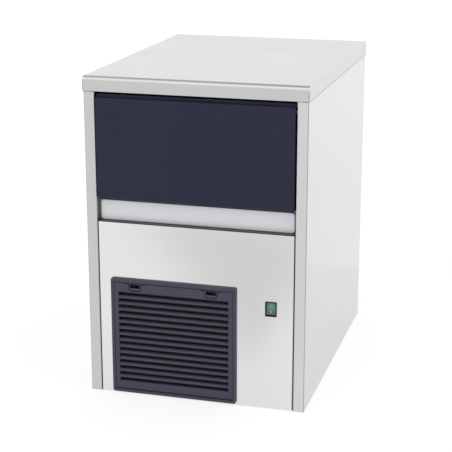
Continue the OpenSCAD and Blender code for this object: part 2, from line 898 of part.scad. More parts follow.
// Hub with pitched flat blades and its shaft
module fan_blade() {
  color(black)
    union() {
      bar_y(grille_x, fan_z, fan_y, fan_y + 22, 24);
      bar_y(grille_x, fan_z, fan_y + 20, motor_y + 28, 4);
      intersection() {
        for (i = [0:blade_n - 1])
          translate([grille_x, fan_y + 11, fan_z])
            rotate([0, i * 360 / blade_n, 0])
              rotate([0, 0, 28])
                box(-26, 26, -1, 1, 20, fan_r + 10);
        bar_y(grille_x, fan_z, fan_y - 5, fan_y + 30, fan_r);
      }
    }
}

// Domed steel shell on a foot plate, with pipe stubs and a terminal box
module compressor() {
  color(black)
    union() {
      translate([comp_x, comp_y, 0])
        rotate_extrude()
          intersection() {
            translate([0, 20])
              square([shell_r, 180]);
            translate([0, 70])
              circle(130);
            translate([0, 150])
              circle(140);
          }
      difference() {
        round_box(comp_x - shell_r + 2, comp_x + shell_r - 2, comp_y - 66, comp_y + 66,
          base_top + 16, base_top + 20, 10);
        for (x = [-1, 1])
          for (y = [-1, 1])
            bar_z(comp_x + x * (shell_r - 14), comp_y + y * 54, 0, 40, 8.3);
      }
      bar_y(comp_x - 27, 130, comp_y - 92, comp_y - 60, 5);
      bar_y(comp_x + 38, 140, comp_y + 55, comp_y + 95, 6);
      round_box(comp_x - shell_r - 14, comp_x - shell_r + 20, comp_y - 24, comp_y + 24, 80, 130, 4);
    }
}
// Rubber mounts between the foot plate and the base
module compressor_mounts() {
  color(black)
    for (x = [-1, 1])
      for (y = [-1, 1]) {
        bar_z(comp_x + x * (shell_r - 14), comp_y + y * 54, base_top, base_top + 16, 12);
        bar_z(comp_x + x * (shell_r - 14), comp_y + y * 54, base_top + 15, base_top + 23, 8);
      }
}
drier_x = min(-xi + 29, grille_x - cond_hw - 30);
drier_y = F + 150;
module filter_drier() {
  color(copper)
    union() {
      bar_y(drier_x, 120, drier_y, drier_y + 12, 5);
      bar_y(drier_x, 120, drier_y + 12, drier_y + 118, 11);
      bar_y(drier_x, 120, drier_y + 118, drier_y + 130, 5);
    }
}
// Hot gas pipe to the condenser and liquid pipe to the drier
module condenser_pipes() {
  x0 = grille_x - cond_hw - 16;
  ya = cond_y0 + 12;
  yb = cond_y1 - 12;
  z = tube_z(0);
  xc = comp_x - 27;
  yc = F + 230;
  color(copper) {
    pipe_run([[x0, ya, z], [drier_x, ya, z], [drier_x, ya, 120], [drier_x, drier_y, 120]], tube_r, 14);
    pipe_run([[xc, comp_y - 92, 130], [xc, yc, 130], [xc, yc, z], [x0 - 18, yc, z],
      [x0 - 18, yb, z], [x0, yb, z]], tube_r, 14);
  }
}
module capillary_pipe() {
  y = ev_y + 90;
  color(copper)
    pipe_run([[ev_x, ev_y + 72, 250], [ev_x, y, 250], [drier_x, y, 250], [drier_x, y, 120],
      [drier_x, drier_y + 130, 120]], 3, 12);
}
module suction_pipe() {
  y = ev_y + 90;
  x = comp_x + 38;
  color(copper)
    pipe_run([[ev_x, ev_y + 72, tube_top - 40], [ev_x, y, tube_top - 40], [x, y, tube_top - 40],
      [x, y, 140], [x, comp_y + 95, 140]], 5, 14);
}

// Folded stand, motor and gearbox that turn the auger
module drive_stand() {
  color(steel)
    difference() {
      union() {
        box(ev_x - stand_hw, ev_x + stand_hw, ev_y - 62, ev_y + 62, gear_low - 3, gear_low);
        for (s = [-1, 1])
          box(s > 0 ? ev_x + stand_hw - 3 : ev_x - stand_hw, s > 0 ? ev_x + stand_hw : ev_x - stand_hw + 3,
            ev_y - 62, ev_y + 62, base_top, gear_low);
      }
      bar_z(ev_x, ev_y, gear_low - 10, gear_low + 10, 57);
    }
}
module drive_motor() {
  color(grey)
    union() {
      bar_z(ev_x, ev_y, base_top, 20, 48);
      bar_z(ev_x, ev_y, 20, 84, 56);
      bar_z(ev_x, ev_y, 84, gear_low, 50);
    }
}
module gearbox() {
  color(grey)
    difference() {
      union() {
        round_box(ev_x - stand_hw + 8, ev_x + stand_hw - 8, ev_y - 60, ev_y + 60,
          gear_low, gear_low + 28, 20);
        round_box(ev_x - stand_hw + 5, ev_x + stand_hw - 5, ev_y - 62, ev_y + 62,
          gear_low + 28, gear_low + 36, 22);
        round_box(ev_x - stand_hw + 8, ev_x + stand_hw - 8, ev_y - 60, ev_y + 60,
          gear_low + 36, gear_low + 60, 20);
        bar_z(ev_x, ev_y, gear_low + 60, gear_top, 46);
      }
      bar_z(ev_x, ev_y, gear_low + 20, gear_top + e, 10 + run_gap);
    }
}
// Lower bearing and water seal of the evaporator
module lower_housing() {
  color(grey)
    difference() {
      union() {
        bar_z(ev_x, ev_y, gear_top, gear_top + 8, ev_out + 12);
        bar_z(ev_x, ev_y, gear_top, tube_low, ev_out - 2);
        bar_z(ev_x, ev_y, tube_low - 8, tube_low, ev_out + 12);
        bar_x(ev_y, gear_top + 20, ev_x + 20, ev_x + 60, 6);
      }
      bar_z(ev_x, ev_y, gear_top - e, tube_low + e, journal_r + run_gap);
      bar_z(ev_x, ev_y, tube_low - 10, tube_low + e, ev_r);
    }
}
module evaporator_tube() {
  color(steel)
    translate([ev_x, ev_y, 0])
      rotate_extrude()
        polygon([[ev_r, tube_low], [ev_out + 12, tube_low], [ev_out + 12, tube_low + 6],
          [ev_out, tube_low + 6], [ev_out, tube_top - 6], [ev_out + 12, tube_top - 6],
          [ev_out + 12, tube_top], [ev_r, tube_top]]);
}
// Sleeve round the tube that carries the refrigerant
module refrigerant_jacket() {
  z0 = tube_low + 16;
  z1 = tube_top - 18;
  color(copper)
    union() {
      translate([ev_x, ev_y, 0])
        rotate_extrude()
          polygon([[ev_out + 0.3, z0], [ev_out + 3, z0], [ev_out + 7, z0 + 6], [ev_out + 7, z1 - 6],
            [ev_out + 3, z1], [ev_out + 0.3, z1]]);
      bar_y(ev_x, 250, ev_y + ev_out + 4, ev_y + 72, 4);
      bar_y(ev_x, tube_top - 40, ev_y + ev_out + 4, ev_y + 72, 6);
    }
}
module evaporator_insulation() {
  color(black)
    difference() {
      bar_z(ev_x, ev_y, tube_low + 6.3, tube_top - 6.3, 66);
      bar_z(ev_x, ev_y, tube_low, tube_top, ev_out + 7.3);
      bar_y(ev_x, 250, ev_y, ev_y + 80, 4.3);
      bar_y(ev_x, tube_top - 40, ev_y, ev_y + 80, 6.3);
    }
}
// Turned shaft: drive end, lower journal, core, upper journal
module auger_shaft() {
  color(steel)
    union() {
      bar_z(ev_x, ev_y, gear_low + 24, gear_top + 1, 10);
      bar_z(ev_x, ev_y, gear_top + 0.5, tube_low - 8, journal_r);
      bar_z(ev_x, ev_y, tube_low - 9, tube_top - 4, auger_r);
      bar_z(ev_x, ev_y, tube_top - 5, head_top + 4, journal_r);
      bar_z(ev_x, ev_y, head_top + 1, head_top + 10, journal_r + 6);
      for (a = [0, 90])
        translate([ev_x, ev_y, head_top + 3])
          rotate([0, 0, a])
            translate([-36, -2.5, 0])
              cube([72, 5, 7]);
    }
}
// Helical flight that scrapes the ice up the tube
module auger_flight() {
  h = tube_top - tube_low - 12;
  r0 = auger_r + 0.5;
  r1 = ev_r - flight_gap;
  color(steel)
    translate([ev_x, ev_y, tube_low + 4])
      linear_extrude(height = h, twist = -360 * auger_turns, slices = 16 * auger_turns, $fn = 8)
        polygon(concat([for (a = [0:16:48]) [r1 * cos(a), r1 * sin(a)]],
          [for (a = [48:-16:0]) [r0 * cos(a), r0 * sin(a)]]));
}
// Upper bearing with the ports that break the ice into flakes
module breaker_head() {
  color(grey)
    difference() {
      bar_z(ev_x, ev_y, tube_top, head_top, ev_out + 10);
      bar_z(ev_x, ev_y, tube_top - e, head_top + e, journal_r + run_gap);
      for (a = [0:60:300])
        bar_z(ev_x + 25 * cos(a), ev_y + 25 * sin(a), tube_top - e, head_top + e, 8);
    }
}
// Plastic hood over the head, with a sloping channel into the bin
module chute_side(o) {
  y0 = bin_y1 - 14;
  ym = ev_y - 60;
  polygon([[ev_y, head_top + o], [ym, head_top + o], [y0 - (o > 0 ? e : 0), head_top - 16 + o],
    [y0 - (o > 0 ? e : 0), chute_top - o], [ev_y, chute_top - o]]);
}
module ice_chute() {
  color(black)
    difference() {
      union() {
        bar_z(ev_x, ev_y, head_top, chute_top, 48);
        along_x(ev_x - 48, ev_x + 48)
          chute_side(0);
      }
      bar_z(ev_x, ev_y, head_top - e, chute_top - 3, 45);
      along_x(ev_x - 45, ev_x + 45)
        chute_side(3);
    }
}

// Angled bracket on the right side panel under the water tank
module tank_bracket() {
  color(steel)
    union() {
      box(tank_x - 60, xi, tank_y0 - 6, tank_y1 + 6, tank_z - base_t, tank_z);
      box(xi - base_t, xi, tank_y0 - 6, tank_y1 + 6, tank_z - base_t, tank_z + 40);
    }
}
// Open plastic tank with an outlet stub
module water_tank() {
  color([0.85, 0.88, 0.9])
    difference() {
      union() {
        round_box(tank_x - 50, tank_x + 50, tank_y0, tank_y1, tank_z, tank_z + tank_h, 6);
        bar_x(tank_y0 + 50, tank_z + 12, tank_x - 60, tank_x - 48, 6);
      }
      round_box(tank_x - 47.5, tank_x + 47.5, tank_y0 + 2.5, tank_y1 - 2.5,
        tank_z + 2.5, tank_z + tank_h + e, 3.5);
      bar_x(tank_y0 + 50, tank_z + 12, tank_x - 70, tank_x - 40, 3.5);
      bar_y(tank_x, valve_z, tank_y1 - 10, tank_y1 + 10, 8.3);
    }
}
// Brass valve through the tank wall, with a fork for the float arm
module float_valve() {
  color([0.75, 0.62, 0.3])
    difference() {
      union() {
        bar_y(tank_x, valve_z, tank_y1 - 12, tank_y1 + 12, 8);
        bar_y(tank_x, valve_z, tank_y1, tank_y1 + 3, 12);
        bar_y(tank_x, valve_z, tank_y1 - 6, tank_y1 - 2.5, 12);
        for (s = [-1, 1])
          box(tank_x + s * 5 - 1, tank_x + s * 5 + 1, tank_y1 - 22, tank_y1 - 11,
            valve_z - 4, valve_z + 4);
      }
      bar_x(tank_y1 - 18, valve_z, tank_x - 10, tank_x + 10, 1.5 + run_gap);
    }
}
// Float on its arm, hanging at its low stop
module float_arm() {
  color([0.9, 0.9, 0.85])
    translate([0, tank_y1 - 18, valve_z])
      rotate([15, 0, 0])
        union() {
          bar_x(0, 0, tank_x - 7, tank_x + 7, 1.5);
          box(tank_x - 3, tank_x + 3, -36, 2.5, -1.5, 1.5);
          box(tank_x - 22, tank_x + 22, -66, -34, -13, 13);
        }
}
// Solenoid valve behind the rear panel, its threaded spigot outside
module inlet_valve() {
  color([0.9, 0.9, 0.92])
    difference() {
      union() {
        round_box(tank_x - 16, tank_x + 16, B - 52, rear_out - 3, inlet_z - 16, inlet_z + 16, 3);
        box(tank_x - 20, tank_x + 20, rear_out - 4, rear_out, inlet_z - 20, inlet_z + 20);
        bar_y(tank_x, inlet_z, rear_out - e, B, inlet_r + 0.3);
        bar_y(tank_x, inlet_z, B - e, B + rear_proud, inlet_r);
        bar_z(tank_x, B - 38, inlet_z + 15, inlet_z + 28, 5);
        round_box(tank_x - 14, tank_x + 14, B - 78, B - 52, inlet_z - 14, inlet_z + 14, 3);
      }
      bar_y(tank_x, inlet_z, B - 10, B + rear_proud + e, inlet_r - 4);
    }
}
// Hose from the inlet valve to the float valve, and from the tank to the evaporator
module water_hoses() {
  x = ev_x + 100;
  y = tank_y0 + 50;
  z = gear_top + 20;
  color([0.8, 0.82, 0.85]) {
    pipe_run([[tank_x, B - 38, inlet_z + 28], [tank_x, B - 38, valve_z],
      [tank_x, tank_y1 + 12, valve_z]], 6, 16);
    pipe_run([[tank_x - 60, y, tank_z + 12], [x, y, tank_z + 12], [x, y, z], [x, ev_y, z],
      [ev_x + 60, ev_y, z]], 6, 14);
  }
}
// Gland for the supply cable, with its bore
module cable_gland() {
  color(black)
    difference() {
      union() {
        bar_y(gland_x, gland_z, rear_out - 5, rear_out, gland_r + 7);
        bar_y(gland_x, gland_z, rear_out - e, B + e, gland_r + 3);
        bar_y(gland_x, gland_z, B, B + 5, gland_r + 7);
        bar_y(gland_x, gland_z, B + 4, B + 14, gland_r + 4);
      }
      bar_y(gland_x, gland_z, rear_out - 10, B + 20, gland_r);
    }
}

// Sheet box on the right side panel with a cover and a circuit board
module control_box() {
  color(grey)
    difference() {
      box(box_x0, xi, F + 60, F + 150, 140, 250);
      box(box_x0 - e, xi - 1.2, F + 61.2, F + 148.8, 141.2, 248.8);
    }
}
module control_cover() {
  color(grey)
    difference() {
      box(box_x0 - 1.2, box_x0 + 10, F + 58.5, F + 151.5, 138.5, 251.5);
      box(box_x0, box_x0 + 11, F + 59.7, F + 150.3, 139.7, 250.3);
    }
}
module control_board() {
  x1 = xi - 1.2;
  color([0.1, 0.35, 0.2])
    union() {
      box(x1 - 9.6, x1 - 8, F + 66, F + 144, 148, 242);
      for (y = [F + 74, F + 136])
        for (z = [156, 234])
          bar_x(y, z, x1 - 8.5, x1, 3);
      box(x1 - 28, x1 - 9, F + 72, F + 96, 190, 206);
      box(x1 - 28, x1 - 9, F + 72, F + 96, 212, 228);
      bar_x(F + 122, 218, x1 - 40, x1 - 9, 12);
      box(x1 - 20, x1 - 9, F + 72, F + 138, 152, 164);
      box(x1 - 30, x1 - 9, F + 108, F + 138, 170, 196);
    }
}

base_pan();
left_side_panel();
right_side_panel();
rear_panel();
top_cover();
top_insulation();
front_panel();
front_crossbar();
name_strip();
casing_screws();
grille_frame();
grille_louvre();
air_filter();
switch_housing();
switch_rocker();
door_outer();
door_inner();
door_pins();
door_runners();
door_guides();
bin_shelf();
bin_liner();
bin_insulation();
bin_drain();
drain_hose();
drain_outlet();
bin_sensor();
condenser_fins();
condenser_tubes();
fan_shroud();
fan_bracket();
fan_motor();
fan_blade();
compressor();
compressor_mounts();
filter_drier();
condenser_pipes();
capillary_pipe();
suction_pipe();
drive_stand();
drive_motor();
gearbox();
lower_housing();
evaporator_tube();
refrigerant_jacket();
evaporator_insulation();
auger_shaft();
auger_flight();
breaker_head();
ice_chute();
tank_bracket();
water_tank();
float_valve();
float_arm();
inlet_valve();
water_hoses();
cable_gland();
control_box();
control_cover();
control_board();
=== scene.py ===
import json
import math
import bmesh
import bpy
from mathutils import Matrix, Vector


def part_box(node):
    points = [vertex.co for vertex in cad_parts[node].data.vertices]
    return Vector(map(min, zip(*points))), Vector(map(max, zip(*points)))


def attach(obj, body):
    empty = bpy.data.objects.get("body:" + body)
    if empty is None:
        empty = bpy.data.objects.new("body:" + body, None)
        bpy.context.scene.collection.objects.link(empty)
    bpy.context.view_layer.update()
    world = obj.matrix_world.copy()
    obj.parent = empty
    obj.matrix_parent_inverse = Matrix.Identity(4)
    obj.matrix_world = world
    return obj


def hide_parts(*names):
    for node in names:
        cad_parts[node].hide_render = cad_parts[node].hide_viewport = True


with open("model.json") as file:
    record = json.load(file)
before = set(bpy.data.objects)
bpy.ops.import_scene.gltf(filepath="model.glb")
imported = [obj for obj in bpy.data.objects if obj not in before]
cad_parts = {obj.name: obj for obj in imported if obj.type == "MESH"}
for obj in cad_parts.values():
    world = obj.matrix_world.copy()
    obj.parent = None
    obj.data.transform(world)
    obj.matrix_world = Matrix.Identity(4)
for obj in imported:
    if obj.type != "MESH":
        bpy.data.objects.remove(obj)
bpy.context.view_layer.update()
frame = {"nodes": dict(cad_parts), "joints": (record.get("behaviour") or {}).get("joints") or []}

# Floor, camera and light: the machine stands alone on a white studio floor, seen from the front
# and a little to the right, under large soft lamps and a white surround. Its steel also mirrors
# studio cards and a table behind it, which only reflections show.
mm = 0.001


def linear(hex_colour):
    """Turns an sRGB hex colour to linear, with full alpha."""
    channels = [int(hex_colour[i:i + 2], 16) / 255 for i in (1, 3, 5)]
    return [c / 12.92 if c <= 0.04045 else ((c + 0.055) / 1.055) ** 2.4
            for c in channels] + [1.0]


def add(tree, kind, settings=(), links=()):
    """Adds a node, sets its properties and sockets, and links its inputs."""
    node = tree.nodes.new(kind)
    for key, value in dict(settings).items():
        if isinstance(key, str) and hasattr(node, key):
            setattr(node, key, value)
        else:
            node.inputs[key].default_value = value
    for key, source in dict(links).items():
        tree.links.new(source, node.inputs[key])
    return node


def show(name, data):
    """Puts a camera, a lamp or a mesh in the scene as an object of that name."""
    thing = bpy.data.objects.new(name, data)
    scene.collection.objects.link(thing)
    return thing


def background_rays(tree):
    """Gives the rays that leave steel and glass, and these with the camera's own rays."""
    rays = add(tree, "ShaderNodeLightPath").outputs
    shiny = add(tree, "ShaderNodeMath", {"operation": "MAXIMUM"},
                {0: rays["Is Glossy Ray"], 1: rays["Is Transmission Ray"]})
    seen = add(tree, "ShaderNodeMath", {"operation": "MAXIMUM"},
               {0: shiny.outputs[0], 1: rays["Is Camera Ray"]})
    return shiny.outputs[0], seen.outputs[0]


scene = bpy.context.scene
scene.view_settings.view_transform = "Standard"
look_down, swing_right = 16.09, 15.62
camera = show("camera", bpy.data.cameras.new("camera"))
camera.data.lens = 104.8
camera.data.sensor_width = 36
camera.location = Vector((727.1, -2677.0, 1085.0)) * mm
camera.rotation_euler = (math.radians(90 - look_down), 0, math.radians(swing_right))
scene.camera = camera

# White surround: white where it is seen or mirrored, and softer as a light. A card overhead is
# given by its direction, where its soft edge begins and ends, and its change of tone.
surround_white, surround_light = 1.02, 0.65
grey_card = ((0, 0.34, 0.94), 0.74, 0.9, -0.55)
bright_card = ((-0.2, -0.66, 0.72), 0.86, 0.96, 0.4)
world = bpy.data.worlds.new("white_surround")
world.use_nodes = True
scene.world = world
sky = world.node_tree
sky.nodes.clear()
shiny, seen = background_rays(sky)
facing = add(sky, "ShaderNodeTexCoord").outputs["Generated"]
cards = []
for aim, edge, full, change in (grey_card, bright_card):
    near = add(sky, "ShaderNodeVectorMath", {"operation": "DOT_PRODUCT", 1: aim}, {0: facing})
    card = add(sky, "ShaderNodeMapRange",
               {"From Min": edge, "From Max": full, "To Max": change},
               {"Value": near.outputs["Value"]})
    cards.append(card.outputs[0])
both = add(sky, "ShaderNodeMath", {"operation": "ADD"}, {0: cards[0], 1: cards[1]})
tone = add(sky, "ShaderNodeMath", {"operation": "MULTIPLY_ADD", 2: surround_white},
           {0: both.outputs[0], 1: shiny})
ambient = add(sky, "ShaderNodeBackground",
              {"Color": linear("#ffffff"), "Strength": surround_light})
backdrop = add(sky, "ShaderNodeBackground", {"Color": linear("#ffffff")},
               {"Strength": tone.outputs[0]})
mixed = add(sky, "ShaderNodeMixShader", (),
            {0: seen, 1: ambient.outputs[0], 2: backdrop.outputs[0]})
add(sky, "ShaderNodeOutputWorld", (), {"Surface": mixed.outputs[0]})

# Lamps: three large soft squares, aimed at the middle of the machine and not mirrored in it.
machine_middle = Vector((0, 0, 0.33))
for name, spot, size, power in (
        ("key_lamp", (-1.4, -2.6, 2.2), 3.5, 40),
        ("side_lamp", (2.6, -0.9, 1.8), 2.8, 32),
        ("top_lamp", (0.2, 0.6, 2.6), 2.2, 20)):
    lamp = show(name, bpy.data.lights.new(name, "AREA"))
    lamp.data.shape = "SQUARE"
    lamp.data.size = size
    lamp.data.energy = power
    lamp.visible_glossy = False
    lamp.location = spot
    lamp.rotation_euler = (machine_middle - Vector(spot)).to_track_quat("-Z", "Y").to_euler()

# Floor: a wide white sheet just under the base. It shows the shadow near the machine, and
# glows to plain white as far as the shadow fades.
reach, below = 30, 0.2 * mm
fade_from, fade_to, glow_near, floor_white = 0.7, 1.7, 0.72, 1.06
corners = [(-reach, -reach, 0), (reach, -reach, 0), (reach, reach, 0), (-reach, reach, 0)]
floor_mesh = bpy.data.meshes.new("floor")
floor_mesh.from_pydata(corners, [], [(0, 1, 2, 3)])
floor = show("floor", floor_mesh)
floor.location.z = -below
white_floor = bpy.data.materials.new("white_studio_floor")
white_floor.use_nodes = True
ground = white_floor.node_tree
ground.nodes.clear()
shiny, seen = background_rays(ground)
place = add(ground, "ShaderNodeTexCoord").outputs["Object"]
away = add(ground, "ShaderNodeVectorMath", {"operation": "LENGTH"}, {0: place})
spread = add(ground, "ShaderNodeMapRange",
             {"From Min": fade_from, "From Max": fade_to, "To Min": glow_near, "To Max": 1.0},
             {"Value": away.outputs["Value"]})
lift = add(ground, "ShaderNodeMath", {"operation": "MULTIPLY"}, {0: seen, 1: spread.outputs[0]})
matt = add(ground, "ShaderNodeBsdfDiffuse", {"Color": linear("#f4f4f4")})

# Grey card on the floor in front: a wedge with a slanting left edge, a right edge and a front
# edge, each soft between the two places given in metres.
card_grey, slant = 0.3, (0.864, -0.503, 0)
across = add(ground, "ShaderNodeVectorMath", {"operation": "DOT_PRODUCT", 1: slant}, {0: place})
on_floor = add(ground, "ShaderNodeSeparateXYZ", (), {0: place}).outputs
edges = []
for along, begins, full, change in ((across.outputs["Value"], 0.25, 0.39, card_grey),
                                    (on_floor["X"], 0.1, 0.0, 1.0),
                                    (on_floor["Y"], -2.0, -1.5, 1.0)):
    edge = add(ground, "ShaderNodeMapRange",
               {"interpolation_type": "SMOOTHSTEP", "From Min": begins, "From Max": full,
                "To Max": change}, {"Value": along})
    edges.append(edge.outputs[0])
wedge = add(ground, "ShaderNodeMath", {"operation": "MULTIPLY"}, {0: edges[0], 1: edges[1]})
wedge_card = add(ground, "ShaderNodeMath", {"operation": "MULTIPLY"},
                 {0: wedge.outputs[0], 1: edges[2]})

# Table: greyer than the floor, from under the machine to an edge 0.65 m behind its middle, and
# paler past that. Each stop is a place in metres from front to rear and its tone.
nearest, farthest = -1.0, 3.0
table_tones = ((nearest, 1.0), (-0.31, 1.0), (-0.3, 0.78), (0.645, 0.82), (0.655, 0.875),
               (1.5, 0.885), (farthest, 0.92))
depth = add(ground, "ShaderNodeMapRange", {"From Min": nearest, "From Max": farthest},
            {"Value": on_floor["Y"]})
table = add(ground, "ShaderNodeValToRGB", (), {0: depth.outputs[0]})
stops = table.color_ramp.elements
stops.remove(stops[1])
for y, grey in table_tones:
    stop = stops.new((y - nearest) / (farthest - nearest))
    stop.color = (grey, grey, grey, 1)
stops.remove(stops[0])
bare = add(ground, "ShaderNodeMath", {"operation": "SUBTRACT"},
           {0: table.outputs[0], 1: wedge_card.outputs[0]})
card_tone = add(ground, "ShaderNodeMix", {"data_type": "FLOAT", "A": 1.0},
                {"Factor": shiny, "B": bare.outputs[0]})
lit = add(ground, "ShaderNodeMath", {"operation": "MULTIPLY", 1: floor_white},
          {0: card_tone.outputs["Result"]})
glow = add(ground, "ShaderNodeEmission", {"Color": linear("#ffffff")},
           {"Strength": lit.outputs[0]})
mixed = add(ground, "ShaderNodeMixShader", (),
            {0: lift.outputs[0], 1: matt.outputs[0], 2: glow.outputs[0]})
add(ground, "ShaderNodeOutputMaterial", (), {"Surface": mixed.outputs[0]})
floor_mesh.materials.append(white_floor)

# Base pan, rear sheet, shelf, brackets and boxes: zinc-coated steel sheet, punched and folded
# on a press brake, then screwed and riveted between the side panels.


def start(name, colour, roughness, metallic=0.0):
    """Starts a material and gives its node tree, shader and Object coordinates too."""
    material = bpy.data.materials.new(name)
    material.use_nodes = True
    tree = material.node_tree
    shader = tree.nodes["Principled BSDF"]
    shader.inputs["Base Color"].default_value = linear(colour)
    shader.inputs["Roughness"].default_value = roughness
    shader.inputs["Metallic"].default_value = metallic
    return material, tree, shader, add(tree, "ShaderNodeTexCoord").outputs["Object"]


def feed(tree, shader, sources):
    """Links what the nodes give to the shader's sockets."""
    for socket, source in sources.items():
        tree.links.new(source, shader.inputs[socket])


def dress(material, *names):
    """Gives a material to CAD nodes whose own shape stays."""
    for name in names:
        data = frame["nodes"][name].data
        data.materials.clear()
        data.materials.append(material)


# Zinc spangle: crystals about 9 mm across, each a slightly different grey and gloss.
galvanised, tree, shader, place = start("galvanised_steel_sheet", "#b4b8ba", 0.42, 1.0)
spangle = add(tree, "ShaderNodeTexVoronoi", {"Scale": 1 / (9 * mm)}, {"Vector": place})
shade = add(tree, "ShaderNodeMapRange", {"To Min": 0.32, "To Max": 0.52},
            {"Value": spangle.outputs["Color"]})
tone = add(tree, "ShaderNodeMix",
           {"data_type": "RGBA", "A": linear("#a3a7aa"), "B": linear("#c3c6c8")},
           {"Factor": spangle.outputs["Color"]})
feed(tree, shader, {"Roughness": shade.outputs[0], "Base Color": tone.outputs["Result"]})
dress(galvanised, "base_pan", "rear_panel", "bin_shelf", "fan_shroud", "fan_bracket",
      "drive_stand", "tank_bracket", "control_box", "control_cover")

# Front crossbar: the same sheet, folded and screwed across between the side panels. It is drawn a
# dull, faintly cloudy dark grey: painted shade that keeps the recess dark.
painted_shade_zinc, tree, shader, place = start("zinc_sheet_painted_shade", "#5f6163", 0.5, 0.8)
cloud = add(tree, "ShaderNodeTexNoise", {"Scale": 1 / (15 * mm), "Detail": 3.0},
            {"Vector": place})
tone = add(tree, "ShaderNodeMix",
           {"data_type": "RGBA", "A": linear("#545658"), "B": linear("#6a6c6e")},
           {"Factor": cloud.outputs[0]})
feed(tree, shader, {"Base Color": tone.outputs["Result"]})
dress(painted_shade_zinc, "front_crossbar")

# Condenser: a pack of thin aluminium fins pressed onto copper tubes, behind the grille.
# The tubes run across in two rows and join in soldered return bends at the ends.


def new_tree(name, sizes):
    """Starts a node tree with named inputs: a length, a whole number, a vector or a material."""
    tree = bpy.data.node_groups.new(name, "GeometryNodeTree")
    for size, kind in sizes.items():
        tree.interface.new_socket(size, in_out="INPUT", socket_type="NodeSocket" + kind)
    tree.interface.new_socket("Geometry", in_out="OUTPUT", socket_type="NodeSocketGeometry")
    return tree, add(tree, "NodeGroupInput").outputs


def close(tree, shape, material):
    """Ends a tree in Realize Instances and Set Material."""
    real = add(tree, "GeometryNodeRealizeInstances", (), {"Geometry": shape})
    done = add(tree, "GeometryNodeSetMaterial", (),
               {"Geometry": real.outputs[0], "Material": material})
    add(tree, "NodeGroupOutput", (), {"Geometry": done.outputs[0]})


def plain_mesh(thing):
    """Gives the mesh that an object's modifiers make of it."""
    now = bpy.context.evaluated_depsgraph_get()
    return bpy.data.meshes.new_from_object(thing.evaluated_get(now))


def grow(name, tree, values, mesh=None):
    """Runs a node tree on a new object, with its named inputs set, and keeps a plain mesh."""
    host = show(name, mesh or bpy.data.meshes.new(name))
    step = host.modifiers.new(name, "NODES")
    step.node_group = tree
    for item in tree.interface.items_tree:
        if item.in_out == "INPUT" and item.name in values:
            step[item.identifier] = values[item.name]
    made = plain_mesh(host)
    bpy.data.objects.remove(host)
    made.name = name
    return show(name, made)


# Rolled fin stock: bright, with fine streaks along the rolling direction, about 1.1 mm apart
# and 25 mm long.
fin_stock, tree, shader, place = start("rolled_aluminium_fin", "#c9ccce", 0.3, 1.0)
stretch = add(tree, "ShaderNodeMapping", {"Scale": (0.9 / mm, 0.9 / mm, 1 / (25 * mm))},
              {"Vector": place})
streak = add(tree, "ShaderNodeTexNoise", {"Scale": 1.0, "Detail": 2.0},
             {"Vector": stretch.outputs[0]})
shade = add(tree, "ShaderNodeMapRange", {"To Min": 0.24, "To Max": 0.42},
            {"Value": streak.outputs[0]})
feed(tree, shader, {"Roughness": shade.outputs[0]})

fin_tree, sizes = new_tree("fin_pack", {
    "Start": "Vector", "Pitch": "Vector", "Fins": "Int", "Fin Size": "Vector",
    "Material": "Material"})
row = add(fin_tree, "GeometryNodeMeshLine", (),
          {"Count": sizes["Fins"], "Start Location": sizes["Start"], "Offset": sizes["Pitch"]})
plate = add(fin_tree, "GeometryNodeMeshCube", (), {"Size": sizes["Fin Size"]})
pack = add(fin_tree, "GeometryNodeInstanceOnPoints", (),
           {"Points": row.outputs[0], "Instance": plate.outputs[0]})
close(fin_tree, pack.outputs[0], sizes["Material"])
fin_count, fin_thickness, fin_inset = 92, 0.3 * mm, 0.2 * mm
low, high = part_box("condenser_fins")
middle = (low + high) / 2
fin_step = (high.x - low.x - 2 * fin_inset) / (fin_count - 1)
fins = grow("condenser_fin_pack", fin_tree, {
    "Start": (low.x + fin_inset, middle.y, middle.z), "Pitch": (fin_step, 0, 0),
    "Fins": fin_count, "Fin Size": (fin_thickness, high.y - low.y, high.z - low.z),
    "Material": fin_stock})
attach(fins, "cabinet")
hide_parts("condenser_fins")

# Drawn copper tube, dulled by handling: brown patches about 30 mm long over a satin base.
copper, tree, shader, place = start("drawn_copper_tube", "#b87a56", 0.33, 1.0)
cloud = add(tree, "ShaderNodeTexNoise", {"Scale": 1 / (30 * mm), "Detail": 4.0},
            {"Vector": place})
tone = add(tree, "ShaderNodeMix",
           {"data_type": "RGBA", "A": linear("#8e5638"), "B": linear("#c98a63")},
           {"Factor": cloud.outputs[0]})
shade = add(tree, "ShaderNodeMapRange", {"To Min": 0.25, "To Max": 0.45},
            {"Value": cloud.outputs[0]})
feed(tree, shader, {"Base Color": tone.outputs["Result"], "Roughness": shade.outputs[0]})
dress(copper, "condenser_tubes", "condenser_pipes", "capillary_pipe", "suction_pipe",
      "filter_drier", "refrigerant_jacket")

# Compressor: two deep-drawn steel cups welded at the waist, stove-painted black, on a foot
# plate that sits on four rubber mounts.

# Stove enamel: deep black and half glossy, with a faint orange peel about 2.5 mm across.
black_paint, tree, shader, place = start("black_stove_enamel", "#17181a", 0.32)
peel = add(tree, "ShaderNodeTexNoise", {"Scale": 1 / (2.5 * mm), "Detail": 2.0},
           {"Vector": place})
skin = add(tree, "ShaderNodeBump", {"Strength": 0.25, "Distance": 0.05 * mm},
           {"Height": peel.outputs[0]})
shade = add(tree, "ShaderNodeMapRange", {"To Min": 0.26, "To Max": 0.4},
            {"Value": peel.outputs[0]})
feed(tree, shader, {"Normal": skin.outputs[0], "Roughness": shade.outputs[0]})
dress(black_paint, "compressor")
crease = math.radians(35)


def settle(name, shape, material):
    """Turns a finished bmesh into a piece of one material."""
    mesh = bpy.data.meshes.new(name)
    shape.to_mesh(mesh)
    shape.free()
    mesh.materials.append(material)
    return show(name, mesh)


